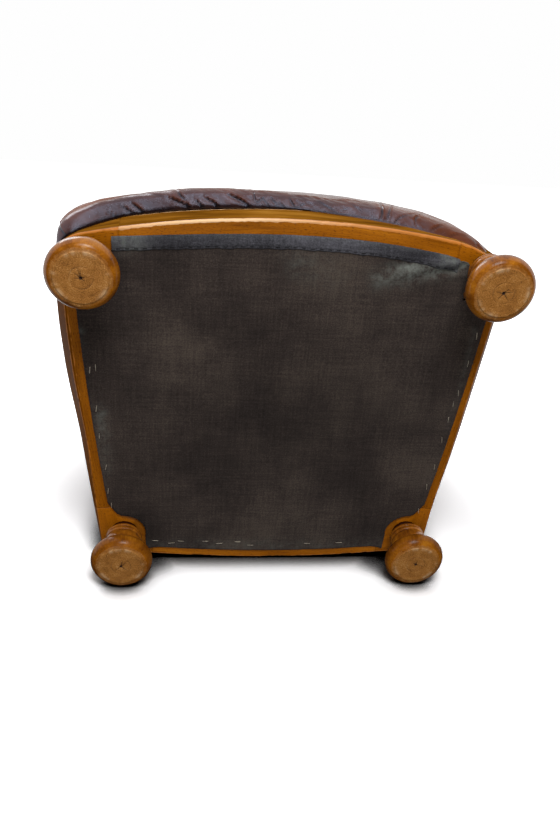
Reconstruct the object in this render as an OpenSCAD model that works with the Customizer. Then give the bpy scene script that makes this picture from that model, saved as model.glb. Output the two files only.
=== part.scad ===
// Wingback chair: a show-wood seat frame on four turned bun feet, with a leather
// upholstered seat, scroll arms, wings and a raked back. Front is -Y, up is +Z.
// The origin is on the ground, under the middle of the chair's box.

/* [Overall] */
// Height from the ground to the top edge of the outside back
back_h = 997; // [900:1:1090]
// Depth from the seat's front roll to the top of the back
overall_d = 780; // [740:1:840]

/* [Seat frame] */
// Width across the side rails, at the front feet
frame_w_front = 654; // [600:1:720]
// Width across the side rails, at the rear feet
frame_w_rear = 564; // [520:1:620]
// Depth of the frame, on the centre line
frame_d = 600; // [570:1:640]
// Radius of the bowed front rail
front_bow_r = 1320; // [1000:10:2000]
// Radius of the bowed rear rail
rear_bow_r = 2100; // [1500:10:4000]
// Radius of the slightly bowed side rails
side_bow_r = 4900; // [3500:50:9000]
// Radius of the frame's front corners, in plan
front_corner_r = 50; // [30:1:60]
// Radius of the frame's rear corners, in plan
rear_corner_r = 26; // [14:1:36]
// Thickness of a rail
rail_t = 36; // [30:0.5:42]
// Height of a rail
rail_h = 88; // [76:1:104]
// Height of the polished band below the leather
show_h = 44; // [36:1:56]
// Step in the rail above that band, where the leather is tacked
rabbet = 5; // [3:0.5:8]
// How far the side rails' lower edge is set in by its cant, at the front
cant_front = 13; // [6:0.5:16]
// The same at the rear
cant_rear = 4; // [2:0.5:8]
// Height of the canted strip, at the front
cant_h = 22; // [16:1:30]
// Half the length of the front rail, between its corner blocks
front_joint_x = 236; // [220:1:245]
// Half the length of the rear rail, between its corner blocks
rear_joint_x = 194; // [180:1:205]
// From the front feet back to the side rail's front joint
front_joint_s = 50; // [42:1:60]
// From the rear feet forward to the side rail's rear joint
rear_joint_s = 48; // [40:1:60]
// Diameter of a dowel in a rail's end
dowel_d = 10; // [8:0.5:12]
// Length of a dowel
dowel_len = 50; // [40:1:60]
// Distance between the two dowels of a joint
dowel_gap = 40; // [30:1:50]

/* [Feet] */
// Height of a foot, from the ground to the frame
foot_h = 86; // [76:1:100]
// Greatest radius of the bun
bun_r = 48; // [42:0.5:54]
// Height of the bun's greatest radius
bun_mid_h = 17.5; // [14:0.5:22]
// Height of the bun's top, where the neck starts
bun_top_h = 53; // [46:0.5:58]
// Radius of the face that stands on the ground
ground_r = 35.6; // [30:0.2:39]
// Radius of the neck
neck_r = 26; // [22:0.5:30]
// Radius of the collar under the frame
collar_r = 32; // [29:0.5:36]
// Height of the collar
collar_h = 13; // [10:0.5:16]
// Height of the bead on the neck
bead_h = 9; // [6:0.5:11]
// How far the bead stands out from the neck
bead_out = 4.5; // [3:0.5:6]
// From the frame's side in to the middle of a front foot
front_foot_in = 49.5; // [46:0.5:60]
// From the frame's side in to the middle of a rear foot
rear_foot_in = 43; // [38:0.5:52]
// From the frame's front to the front feet, on the centre line
foot_setback = 59; // [54:1:68]
// From the frame's rear to the rear feet, on the centre line
foot_rear_in = 57; // [50:1:66]
// Diameter of the stud that holds a foot
stud_d = 10; // [8:0.5:12]
// Depth of the stud in the foot
stud_in_foot = 44; // [30:1:50]
// Depth of the stud in the corner block
stud_in_block = 56; // [40:1:64]

/* [Seat] */
// How far the front roll stands out from the rail
roll_out = 19; // [14:0.5:24]
// Share of that which the roll loses towards the corners
roll_taper = 0.45; // [0:0.05:0.6]
// Height of the front border above the rail's polished band
border_h = 270; // [240:1:290]
// How far the border's top is set back from the rail's front
border_lean = 60; // [50:1:70]
// How far the border's top is set in from the frame's sides
border_side = 10; // [6:1:16]
// Thickness of the border's stuffing, at its top
border_t = 26; // [20:1:34]
// Thickness of the border over the side rails
border_side_t = 3.6; // [3:0.1:4.6]
// Height of the seat's edge above the border
seat_edge_h = 24; // [18:1:30]
// Rise of the crowned seat from its edge to its middle
seat_crown = 20; // [10:1:28]
// Thickness of a webbing strap
web_t = 2; // [1.5:0.1:3]
// Width of a webbing strap
web_w = 52; // [44:1:58]
// Thickness of the cloth over the webbing
deck_t = 1.6; // [1:0.1:2.5]

/* [Arms] */
// From the front feet back to the face of the arms
arm_setback = 112; // [100:1:130]
// Height of the top of the arm rail
arm_rail_z = 542; // [520:1:560]
// Thickness of the arm rail
arm_rail_t = 22; // [18:1:28]
// How far the arm rail stands out from the side of the frame
arm_rail_out = 4; // [2:0.5:8]
// Thickness of the posts in the arms and in the back
post_t = 24; // [20:0.5:28]
// Depth of an arm post, front to back
arm_post_d = 50; // [40:1:60]
// Height of a post's lower end above the frame's underside
post_foot = 14; // [8:1:20]
// Radius of the arm's scroll
scroll_r = 52; // [46:1:56]
// Length of an arm's scroll, from its facing back to the wing
scroll_len = 180; // [150:1:200]
// Thickness of the leather facing on the front of an arm
facing_t = 7; // [5:0.5:10]
// Thickness of the pad on the inside of an arm
arm_pad_t = 14; // [10:0.5:18]
// Thickness of a leather panel on the outside
skin_t = 4; // [3:0.5:6]

/* [Wings] */
// Thickness of a wing's wooden frame
wing_frame_t = 22; // [18:0.5:24]
// Thickness of the pad on the inside of a wing
wing_pad_t = 38; // [34:0.5:42]
// Thickness of the padded leather on the outside of a wing
wing_skin_t = 22; // [16:0.5:24]
// From the front feet back to the wing's foremost point
wing_front = 236; // [215:1:270]
// Height of the wing's foremost point
wing_front_z = 800; // [760:1:840]
// Length of a wing's straight top edge, in front of the back's rear face
wing_top_d = 150; // [120:1:170]

/* [Back] */
// Depth of a back post, front to back
back_post_d = 50; // [42:1:56]
// Height of the rails across the back
back_rail_h = 60; // [50:1:80]
// Thickness of the back's stuffing, at its edge
back_pad_t = 44; // [36:1:54]
// Rise of the back's crowned face from its edge
back_crown = 34; // [20:1:44]
// Height of the crest roll
crest_h = 44; // [36:1:54]
// How much lower the crest is at its ends
crest_drop = 16; // [8:1:22]
// Thickness of a webbing strap in the back
back_web_t = 2; // [1.5:0.1:3]

/* [Dust cover] */
// Thickness of the woven cover under the seat
cover_t = 1.2; // [0.8:0.1:2]
// From the frame's edge in to the cover's edge, at the front
cover_in_front = 21; // [17:0.5:25]
// From the frame's edge in to the cover's edge, at the sides and the rear
cover_in_side = 26; // [22:0.5:29]
// The same at the rear
cover_in_rear = 16; // [13:0.5:20]
// Width of the folded hem along the front
hem_w = 24; // [18:1:30]
// Length of a staple's crown
staple_l = 11; // [9:0.5:13]
// Thickness of a staple's wire
staple_t = 0.8; // [0.6:0.1:1.2]
// Staples along each side
side_staples = 12; // [8:1:16]
// Staples along the rear
rear_staples = 11; // [7:1:14]

/* [Hidden] */
// Clearance between a soft piece and what it lies against
gap = 0.3;
// Clearance round a dowel or a stud, on the radius
fit = 0.1;
// Overrun of a cut past the face that it opens
over = 1;
// Reach of a cutting block past the whole chair
reach = 1500;
// Height of a step that closes a round form smoothly
lip = 6;
wood = "#8a4c16";
leather = "#5b3226";

// Distances between the feet
front_foot_gap = frame_w_front - 2 * front_foot_in;
rear_foot_gap = frame_w_rear - 2 * rear_foot_in;
foot_pitch = frame_d - foot_setback - foot_rear_in;

// Places along the chair's depth
front_y = roll_out - overall_d / 2;
rear_y = front_y + frame_d;
foot_y = front_y + foot_setback;
rear_foot_y = foot_y + foot_pitch;
rail_top = foot_h + rail_h;
show_top = foot_h + show_h;

// The side of the frame: a local frame with n outward and s backward along it
side_turn = atan((frame_w_front - frame_w_rear) / 2 / foot_pitch);
side_dir = [-sin(side_turn), cos(side_turn)];
side_out = [cos(side_turn), sin(side_turn)];
side_pt = [frame_w_front / 2, foot_y];
side_len = foot_pitch / cos(side_turn);
function side_xy(n, s) = side_pt + side_out * n + side_dir * s;
// Half width of the chair at depth y, on the plane n
function half_at(n, y) = (frame_w_front / 2 + n / cos(side_turn)) - (y - foot_y) * tan(side_turn);
function s_of(y) = (y - foot_y) / cos(side_turn);

// Centres of the three arcs that bound the frame, seen from above
front_c = [0, front_y + front_bow_r];
rear_c = [0, rear_y - rear_bow_r];
side_c = side_xy(-sqrt(side_bow_r * side_bow_r - side_len * side_len / 4), side_len / 2);

// Where two circles meet, on the left of the way from the first centre to the second
function meet(a, ra, b, rb) =
  let (d = norm(b - a), u = (b - a) / d, k = (ra * ra - rb * rb + d * d) / (2 * d))
  a + u * k + [-u[1], u[0]] * sqrt(ra * ra - k * k);
function angle_of(v) = atan2(v[1], v[0]);
function arc(c, r, a, b, n) = [for (i = [0:n]) let (t = a + (b - a) * i / n) c + r * [cos(t), sin(t)]];
function tail(p) = [for (i = [1:len(p) - 1]) p[i]];
function reverse(p) = [for (i = [len(p) - 1:-1:0]) p[i]];
function flip(p) = [for (i = [len(p) - 1:-1:0]) [-p[i][0], p[i][1]]];

// The frame's outline set in by e, on its right half, from the front to the rear.
// It is an arc of the front, a round corner, an arc of the side, a corner and the rear.
corner_min = 8;
function corner_r(r, e) = max(r - e, corner_min);
function front_corner(e) =
  let (r = corner_r(front_corner_r, e))
  meet(front_c, front_bow_r - e - r, side_c, side_bow_r - e - r);
function rear_corner(e) =
  let (r = corner_r(rear_corner_r, e))
  meet(side_c, side_bow_r - e - r, rear_c, rear_bow_r - e - r);
front_steps = 11;
corner_steps = 7;
side_steps = 8;
function front_half(e, y_end) =
  let (r = corner_r(front_corner_r, e), c = front_corner(e),
    a = angle_of(c - front_c), b = angle_of(c - side_c),
    s_end = asin((y_end - side_c[1]) / (side_bow_r - e)))
  concat(arc(front_c, front_bow_r - e, -90, a, front_steps),
    tail(arc(c, r, a, b, corner_steps)), [side_c + (side_bow_r - e) * [cos(s_end), sin(s_end)]]);
function right_half(e) =
  let (rf = corner_r(front_corner_r, e), cf = front_corner(e),
    rr = corner_r(rear_corner_r, e), cr = rear_corner(e),
    a = angle_of(cf - front_c), b = angle_of(cf - side_c),
    d = angle_of(cr - side_c), f = angle_of(cr - rear_c))
  concat(arc(front_c, front_bow_r - e, -90, a, front_steps),
    arc(cf, rf, a, b, corner_steps), arc(side_c, side_bow_r - e, b, d, side_steps),
    arc(cr, rr, d, f, corner_steps), arc(rear_c, rear_bow_r - e, f, 90, front_steps));
module outline(e) {
  p = right_half(e);
  polygon(concat(p, tail(flip(tail(p)))));
}
module side() { translate([side_pt[0], side_pt[1], 0]) rotate([0, 0, side_turn]) children(); }
module mirrored(left) { if (left) mirror([1, 0, 0]) children(); else children(); }

// A closed surface through rings of equal length, with a fan on each end.
// The rings run anticlockwise, seen from the side to which they rise.
function mean(p) = [for (k = [0:2]) [for (q = p) q[k]] * [for (q = p) 1] / len(p)];
module loft(rings) {
  m = len(rings[0]);
  n = len(rings);
  pts = concat([for (r = rings) each r], [mean(rings[0]), mean(rings[n - 1])]);
  walls = [for (i = [0:n - 2]) for (j = [0:m - 1]) let (k = (j + 1) % m)
    each [[i * m + j, (i + 1) * m + j, (i + 1) * m + k], [i * m + j, (i + 1) * m + k, i * m + k]]];
  low = [for (j = [0:m - 1]) [n * m, j, (j + 1) % m]];
  high = [for (j = [0:m - 1]) [n * m + 1, (n - 1) * m + (j + 1) % m, (n - 1) * m + j]];
  polyhedron(concat(pts), concat(walls, low, high), convexity = 6);
}

// The back leans by this angle about the frame's rear lower edge
back_run = overall_d - roll_out - frame_d;
outside_back_h = norm([back_run, back_h - show_top]);
back_rake = atan(back_run / (back_h - show_top));
module back_frame() { translate([0, rear_y, show_top]) rotate([-back_rake, 0, 0]) children(); }
// Depth of a point of the back that lies v in front of its rear face, at height z
function back_y(v, z) = rear_y + (v + (z - show_top) * sin(back_rake)) / cos(back_rake);
// Depth and height of a point that lies at v, and w up along the back
function back_pt(v, w) = [rear_y + v * cos(back_rake) + w * sin(back_rake),
  show_top - v * sin(back_rake) + w * cos(back_rake)];
post_v = -skin_t;
pad_v = -skin_t - back_post_d;
post_in = -rail_t - post_t;
wing_in = -rail_t - wing_pad_t;
arm_in = post_in - arm_pad_t;

// A turned foot: a bun, a neck with a bead, and a collar
function quarter(n) = [for (i = [0:n]) 90 * i / n];
bun_rise = bun_top_h - bun_mid_h;
foot_profile = concat([[0, 0]],
  [for (t = quarter(7)) [ground_r + (bun_r - ground_r) * sin(t), bun_mid_h * (1 - cos(t))]],
  [for (t = tail(quarter(9))) [neck_r + (bun_r - neck_r) * cos(t), bun_mid_h + bun_rise * sin(t)]],
  [for (t = [30:30:150]) [neck_r + bead_out * sin(t), bun_top_h + bead_h * (1 - cos(t)) / 2]],
  [[neck_r, bun_top_h + bead_h], [neck_r, foot_h - collar_h]],
  [for (t = [20:35:160]) let (h = collar_h * (1 + cos(t)) / 2)
    [neck_r + (collar_r - neck_r) * sin(min(t, 90)), foot_h - h]],
  [[collar_r - fit, foot_h], [0, foot_h]]);
module pin(d, h, clear) { cylinder(h = h, r = d / 2 + clear, $fn = 32); }
module foot() {
  color(wood) difference() {
    rotate_extrude($fn = 72) polygon(foot_profile);
    translate([0, 0, foot_h - stud_in_foot]) pin(stud_d, stud_in_foot + over, fit);
  }
}
module at_front_foot(left) { translate([(left ? -1 : 1) * front_foot_gap / 2, foot_y, 0]) children(); }
module at_rear_foot(left) { translate([(left ? -1 : 1) * rear_foot_gap / 2, rear_foot_y, 0]) children(); }
module at_feet() {
  for (left = [true, false]) {
    at_front_foot(left) children();
    at_rear_foot(left) children();
  }
}
module front_left_foot() { at_front_foot(true) foot(); }
module front_right_foot() { at_front_foot(false) foot(); }
module rear_left_foot() { at_rear_foot(true) foot(); }
module rear_right_foot() { at_rear_foot(false) foot(); }
module foot_studs() {
  color("#8d8f92") at_feet() translate([0, 0, foot_h - stud_in_foot])
    pin(stud_d, stud_in_foot + stud_in_block - gap, 0);
}

// A piece of the frame: its plan for the polished band, and for the set-in part above it
module two_steps() {
  translate([0, 0, foot_h]) linear_extrude(show_h) children(0);
  translate([0, 0, show_top]) linear_extrude(rail_h - show_h) children(1);
}
// Points of a bowed edge, between two places across the chair
bow_steps = 16;
function bow(c, r, x0, x1, sign) = [for (i = [0:bow_steps]) let (x = x0 + (x1 - x0) * i / bow_steps)
  [x, c[1] + sign * sqrt(r * r - x * x)]];
// How far the side's bow stands out from the plane n = 0, at s
side_rise = sqrt(side_bow_r * side_bow_r - side_len * side_len / 4);
function side_n(e, s) = sqrt(pow(side_bow_r - e, 2) - pow(s - side_len / 2, 2)) - side_rise;
// Block past the canted plane of a side rail's lower edge
module cant_cut() {
  side() translate([-cant_front, 0, foot_h])
    rotate([0, 0, -atan((cant_front - cant_rear) / side_len)])
      rotate([0, atan(cant_front / cant_h), 0])
        translate([0, -reach, -reach]) cube([reach, 2 * reach, 2 * reach]);
}
// Two dowels across each joint, as solids or, with a clearance, as their bores
module joint_dowels(clear) {
  l = dowel_len + 2 * (clear > 0 ? over : 0);
  for (left = [true, false]) mirrored(left) for (k = [-1, 1])
    translate([0, 0, foot_h + (rail_h + k * dowel_gap) / 2]) {
      translate([front_joint_x - l / 2, front_y + joint_in_front, 0]) rotate([0, 90, 0]) pin(dowel_d, l, clear);
      translate([rear_joint_x - l / 2, rear_y - joint_in_rear, 0]) rotate([0, 90, 0]) pin(dowel_d, l, clear);
      side() for (s = [front_joint_s, side_len - rear_joint_s])
        translate([-rail_t / 2, s - l / 2, 0]) rotate([-90, 0, 0]) pin(dowel_d, l, clear);
    }
}
// Middle of the rail's thickness at each joint, from the frame's front or rear
joint_in_front = front_bow_r - sqrt(front_bow_r * front_bow_r - front_joint_x * front_joint_x) + rail_t / 2;
joint_in_rear = rear_bow_r - sqrt(rear_bow_r * rear_bow_r - rear_joint_x * rear_joint_x) + rail_t / 2;
module front_plan(e) {
  polygon(concat(bow(front_c, front_bow_r - e, -front_joint_x, front_joint_x, -1),
    bow(front_c, front_bow_r - rail_t, front_joint_x, -front_joint_x, -1)));
}
module front_rail() {
  color(wood) difference() {
    two_steps() {
      front_plan(0);
      front_plan(rabbet);
    }
    joint_dowels(fit);
  }
}
module rear_plan(e) {
  polygon(concat(bow(rear_c, rear_bow_r - e, rear_joint_x, -rear_joint_x, 1),
    bow(rear_c, rear_bow_r - rail_t, -rear_joint_x, rear_joint_x, 1)));
}
module rear_rail() {
  color(wood) difference() {
    two_steps() {
      rear_plan(0);
      rear_plan(rabbet);
    }
    joint_dowels(fit);
  }
}
module side_plan(e) {
  s0 = front_joint_s;
  s1 = side_len - rear_joint_s;
  polygon(concat([for (i = [0:bow_steps]) let (s = s0 + (s1 - s0) * i / bow_steps) [side_n(e, s), s]],
    [[-rail_t, s1], [-rail_t, s0]]));
}
module side_rail() {
  color(wood) difference() {
    side() two_steps() {
      side_plan(0);
      side_plan(rabbet);
    }
    cant_cut();
    joint_dowels(fit);
  }
}
module left_side_rail() { mirror([1, 0, 0]) side_rail(); }
module right_side_rail() { side_rail(); }
// A corner block fills the frame's corner, from the end of one rail to the end of the next
block_in = rail_t / 3;
module front_block_plan(e) {
  r = corner_r(front_corner_r, e);
  c = front_corner(e);
  a = angle_of(c - front_c);
  b = angle_of(c - side_c);
  a0 = asin(front_joint_x / (front_bow_r - e)) - 90;
  inner = -rail_t - block_in;
  polygon(concat(arc(front_c, front_bow_r - e, a0, a, 3),
    tail(arc(c, r, a, b, corner_steps)),
    [side_xy(side_n(e, front_joint_s), front_joint_s), side_xy(inner, front_joint_s),
    [front_joint_x, side_xy(inner, front_joint_s)[1]]]));
}
module rear_block_plan(e) {
  r = corner_r(rear_corner_r, e);
  c = rear_corner(e);
  a = angle_of(c - side_c);
  b = angle_of(c - rear_c);
  b1 = acos(rear_joint_x / (rear_bow_r - e));
  s0 = side_len - rear_joint_s;
  inner = side_xy(post_in, s0);
  polygon(concat([side_xy(side_n(e, s0), s0)], arc(c, r, a, b, corner_steps),
    [for (i = [1:3]) rear_c + (rear_bow_r - e) * [cos(b + (b1 - b) * i / 3), sin(b + (b1 - b) * i / 3)]],
    [[rear_joint_x, inner[1]], inner]));
}
module corner_blocks() {
  color(wood) for (left = [true, false]) mirrored(left) difference() {
    union() {
      two_steps() {
        front_block_plan(0);
        front_block_plan(rabbet);
      }
      two_steps() {
        rear_block_plan(0);
        rear_block_plan(rabbet);
      }
    }
    cant_cut();
    joint_dowels(fit);
    at_feet() pin(stud_d, foot_h + stud_in_block, fit);
  }
}
module frame_dowels() { color("#c9a26a") joint_dowels(0); }

// Half space behind the plane v of the back, as a cutting block
module behind(v) { back_frame() translate([-reach, v, -reach]) cube([2 * reach, reach, 2 * reach]); }
// The space between the two sides of the chair, inside their planes n
module between(n) {
  linear_extrude(reach) polygon([for (p = [[-1, -1], [1, -1], [1, 1], [-1, 1]])
    [p[0] * half_at(n, p[1] * overall_d), p[1] * overall_d]]);
}
// Flat layers on top of the frame that carry the seat
cross_z = rail_top + web_t;
deck_z = cross_z + web_t;
deck_top = deck_z + deck_t;
border_in = rail_t * 0.45;
strap_in = border_in + web_t;
strap_pitch = web_w * 1.5;
cross_pitch = web_w * 1.75;
// The first strap behind the arm posts
cross_first = arm_setback + facing_t + arm_post_d + web_w / 2;
module seat_webbing() {
  color("#c8b48c") intersection() {
    translate([0, 0, rail_top]) linear_extrude(web_t) outline(strap_in);
    for (i = [-2:2]) translate([i * strap_pitch - web_w / 2, -overall_d, rail_top])
      cube([web_w, 2 * overall_d, web_t]);
  }
}
module cross_webbing() {
  color("#c8b48c") intersection() {
    translate([0, 0, cross_z]) linear_extrude(web_t) outline(strap_in);
    for (y = concat([0], [for (i = [0:2]) cross_first + i * cross_pitch]))
      translate([-overall_d, foot_y + y, cross_z]) cube([2 * overall_d, web_w, web_t]);
  }
}
module deck_cloth() {
  color("#b9a988") intersection() {
    translate([0, 0, deck_z]) linear_extrude(deck_t) outline(strap_in);
    between(post_in - gap);
  }
}

// Arms: a post on the side rail's inner face, and a rail from it to the back post
module arm_post() {
  color("#b98b54") side() translate([post_in, arm_setback + facing_t, foot_h + post_foot])
    cube([post_t, arm_post_d, arm_rail_z - arm_rail_t - foot_h - post_foot]);
}
module left_arm_post() { mirror([1, 0, 0]) arm_post(); }
module right_arm_post() { arm_post(); }
module arm_rail() {
  color("#b98b54") difference() {
    side() translate([post_in, arm_setback + facing_t, arm_rail_z - arm_rail_t])
      cube([arm_rail_out - post_in, reach, arm_rail_t]);
    behind(pad_v);
  }
}
module left_arm_rail() { mirror([1, 0, 0]) arm_rail(); }
module right_arm_rail() { arm_rail(); }

// Back: two raked posts that stand on the corner blocks, and the rails between them
back_web_first = back_rail_h * 2.3;
back_web_pitch = web_w * 3;
module back_post() {
  color("#b98b54") intersection() {
    side() translate([post_in, -reach, rail_top]) cube([post_t, 2 * reach, reach]);
    back_frame() translate([-reach, pad_v, 0]) cube([2 * reach, back_post_d, outside_back_h - gap]);
  }
}
module left_back_post() { mirror([1, 0, 0]) back_post(); }
module right_back_post() { back_post(); }
module back_rail(w, d) {
  color("#b98b54") intersection() {
    back_frame() translate([-reach, pad_v, w]) cube([2 * reach, d, back_rail_h]);
    between(post_in);
  }
}
module back_top_rail() { back_rail(outside_back_h - gap - back_rail_h, back_post_d); }
module back_lower_rail() { back_rail(back_rail_h, back_post_d / 2); }
module back_webbing() {
  color("#c8b48c") intersection() {
    back_frame() for (i = [0:4]) translate([-reach, pad_v - back_web_t, back_web_first + i * back_web_pitch])
      cube([2 * reach, back_web_t, web_w]);
    between(post_in + post_t / 2);
  }
}

// Middle of the arm's scroll
scroll_n = (post_in + arm_rail_out) / 2;
scroll_z = arm_rail_z + lip;

// Wings: an outline in depth and height, from the arm rail up to the crest
function bezier(a, b, c, d, n) = [for (i = [0:n]) let (t = i / n, u = 1 - t)
  a * u * u * u + b * 3 * u * u * t + c * 3 * u * t * t + d * t * t * t];
wing_foot = arm_setback + facing_t + scroll_len + gap;
wing_low = arm_rail_z + gap;
wing_knee = [foot_y + wing_foot, scroll_z + scroll_r];
wing_tip = [foot_y + wing_front, wing_front_z];
wing_top = back_pt(-wing_top_d, outside_back_h - gap);
// Shares of the way to the next point at which a bend in the edge is set
knee_pull = 0.38;
tip_pull = 0.75;
top_pull = [0.8, 0.06];
wing_knee_rise = [0, (wing_front_z - wing_knee[1]) * knee_pull];
wing_front_edge = bezier(wing_knee, wing_knee + wing_knee_rise, wing_tip - wing_knee_rise, wing_tip, 7);
wing_top_rise = wing_top[1] - wing_front_z;
wing_top_edge = bezier(wing_tip, wing_tip + [0, wing_top_rise * tip_pull],
  wing_top - wing_top_rise * top_pull, wing_top, 9);
function wing_outline(v) = concat([[wing_knee[0], wing_low]], wing_front_edge,
  [for (i = [1:len(wing_top_edge) - 1]) wing_top_edge[i]],
  [back_pt(v, outside_back_h - gap), [back_y(v, wing_low), wing_low]]);
// The outline as a ring on the plane n, drawn in towards its middle by a share k
function wing_ring(p, n, k) =
  let (c = [for (i = [0:1]) [for (q = p) q[i]] * [for (q = p) 1] / len(p)])
  [for (q = p) let (r = c + (q - c) * k) [n, s_of(r[0]), r[1]]];
pad_end = pad_v - back_web_t - gap;
module wing_frame() {
  color("#b98b54") side() translate([-rail_t, 0, 0]) rotate([90, 0, 90]) linear_extrude(wing_frame_t)
    polygon([for (q = wing_outline(-skin_t)) [s_of(q[0]), q[1]]]);
}
module left_wing_frame() { mirror([1, 0, 0]) wing_frame(); }
module right_wing_frame() { wing_frame(); }
// Soft sheets swell from their flat side: shares of their thickness and of their outline
swell_shares = [[0, 0.985], [0.12, 1], [0.62, 1], [0.84, 0.985], [0.94, 0.95], [0.985, 0.86], [1, 0.6]];
module swollen(p, from, to) {
  q = to > from ? p : reverse(p);
  side() loft([for (k = swell_shares) wing_ring(q, from + (to - from) * k[0], k[1])]);
}
module left_wing_pad() { mirror([1, 0, 0]) right_wing_pad(); }
module right_wing_pad() { color(leather) swollen(reverse(wing_outline(pad_end)), -rail_t - gap, wing_in); }
module left_outer_wing() { mirror([1, 0, 0]) right_outer_wing(); }
module right_outer_wing() {
  n = wing_frame_t - rail_t;
  color(leather) swollen(reverse(wing_outline(-skin_t - gap)), n + gap, n + wing_skin_t);
}

// Arm upholstery
panel_n = side_bow_r - sqrt(side_bow_r * side_bow_r - side_len * side_len / 4) - rabbet + gap;
module arm_pad() {
  low = deck_top + gap;
  high = arm_rail_z - gap;
  s0 = foot_y + arm_setback + facing_t + gap;
  levels = [for (i = [0:5]) low + (high - low) * i / 5];
  p = concat([for (z = reverse(levels)) [s0, z]], [for (z = levels) [back_y(pad_end, z), z]]);
  color(leather) swollen(reverse(p), post_in - gap, arm_in);
}
module left_arm_pad() { mirror([1, 0, 0]) arm_pad(); }
module right_arm_pad() { arm_pad(); }
module arm_scroll() {
  color(leather) side() intersection() {
    translate([scroll_n, arm_setback + facing_t, scroll_z]) rotate([-90, 0, 0])
      cylinder(h = scroll_len, r = scroll_r, $fn = 96);
    translate([scroll_n - scroll_r, arm_setback, arm_rail_z + gap]) cube([2 * scroll_r, reach, 2 * scroll_r]);
  }
}
module left_arm_scroll() { mirror([1, 0, 0]) arm_scroll(); }
module right_arm_scroll() { arm_scroll(); }
module arm_facing() {
  color(leather) side() translate([0, arm_setback + facing_t - gap, 0]) rotate([90, 0, 0])
    linear_extrude(facing_t - gap) {
      polygon([[arm_in, deck_top + gap], [panel_n, deck_top + gap], [panel_n, show_top + gap],
        [panel_n + skin_t, show_top + gap], [arm_rail_out + skin_t, arm_rail_z], [arm_in, arm_rail_z]]);
      translate([scroll_n, scroll_z]) circle(r = scroll_r, $fn = 96);
    }
}
module left_arm_facing() { mirror([1, 0, 0]) arm_facing(); }
module right_arm_facing() { arm_facing(); }
module outer_arm() {
  color(leather) difference() {
    side() translate([0, reach + arm_setback, 0]) rotate([90, 0, 0]) linear_extrude(reach - facing_t)
      polygon([[panel_n, show_top + gap], [panel_n + skin_t, show_top + gap],
        [arm_rail_out + skin_t, arm_rail_z - arm_rail_t], [arm_rail_out + skin_t, arm_rail_z],
        [arm_rail_out + gap, arm_rail_z], [arm_rail_out + gap, arm_rail_z - arm_rail_t]]);
    behind(-skin_t - gap);
  }
}
module left_outer_arm() { mirror([1, 0, 0]) outer_arm(); }
module right_outer_arm() { outer_arm(); }
module outside_back() {
  color(leather) intersection() {
    back_frame() translate([-reach, -skin_t, gap]) cube([2 * reach, skin_t, outside_back_h - gap]);
    between(panel_n + skin_t);
  }
}

// The border round the seat's front: a roll over the rail, then a face that leans back.
// Each row is a share of the roll's projection and a share of the border's height.
roll_shares = [[0.2, 0], [0.62, 0.012], [0.93, 0.035], [1, 0.08], [0.88, 0.125], [0.62, 0.175],
  [0.34, 0.235], [0.05, 0.31]];
lean_shares = [0.5, 0.7, 0.88];
border_low = show_top + gap;
border_top = show_top + border_h;
lean_from = roll_shares[len(roll_shares) - 1][1];
function lean_share(t) = (t - lean_from) / (1 - lean_from);
// Each entry is set in by its first value at the front and by its second at the sides
border_profile = concat([[rabbet - gap, rabbet - gap, rail_top + gap], [border_in, border_in, rail_top + gap],
    [border_lean + border_t, border_side + border_t, border_top],
    [border_lean + lip / 2, border_side + lip / 2, border_top],
    [border_lean, border_side, border_top - lip / 2]],
  [for (t = reverse(lean_shares))
    [border_lean * lean_share(t), border_side * lean_share(t), border_low + border_h * t]],
  [for (q = reverse(roll_shares))
    [-roll_out * q[0], rabbet - gap - border_side_t * min(1, 2 * q[0]), border_low + border_h * q[1]]],
  [[rabbet - gap, rabbet - gap, border_low]]);
// The frame's outline as far back as y, set in by e at the front and by g at the sides.
// Where it stands out from the rail, it stands out less towards the corners.
function seat_half(e, g, y) =
  let (h = front_half(g, y - e + g), t = e < g ? roll_taper : 0)
  [for (i = [0:len(h) - 1]) let (k = 1 - t * pow(h[i][0] / side_pt[0], 2))
    i < len(h) - 1 ? h[i] + [0, (e - g) * k] : [h[i][0], y]];
function front_path(e, g, y) =
  let (h = seat_half(e, g, y))
  concat(flip(tail(h)), h);
function ear_y(g) = side_xy(-g, arm_setback - 2 * gap)[1];
module seat_front_roll() {
  rows = [for (q = border_profile) front_path(q[0], q[1], ear_y(q[1]))];
  color(leather) loft([for (j = [0:len(rows[0]) - 1])
    [for (k = [0:len(rows) - 1]) [rows[k][j][0], rows[k][j][1], border_profile[k][2]]]]);
}

// The seat: a T-shaped cushion whose ears fill the corners in front of the arms
seat_low = deck_top + gap;
seat_edge = border_top + seat_edge_h;
seat_mid = [0, foot_y + arm_setback / 2];
function seat_ring(e, g, back, z) =
  let (h = seat_half(e, g, ear_y(g) - back), y = back_y(back_front, z) - gap - back, n = arm_in - gap - back,
    r = concat(h, [side_xy(n, arm_setback - 2 * gap - back), [half_at(n, y), y]]))
  [for (q = concat(r, flip(tail(r)))) [q[0], q[1], z]];
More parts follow.
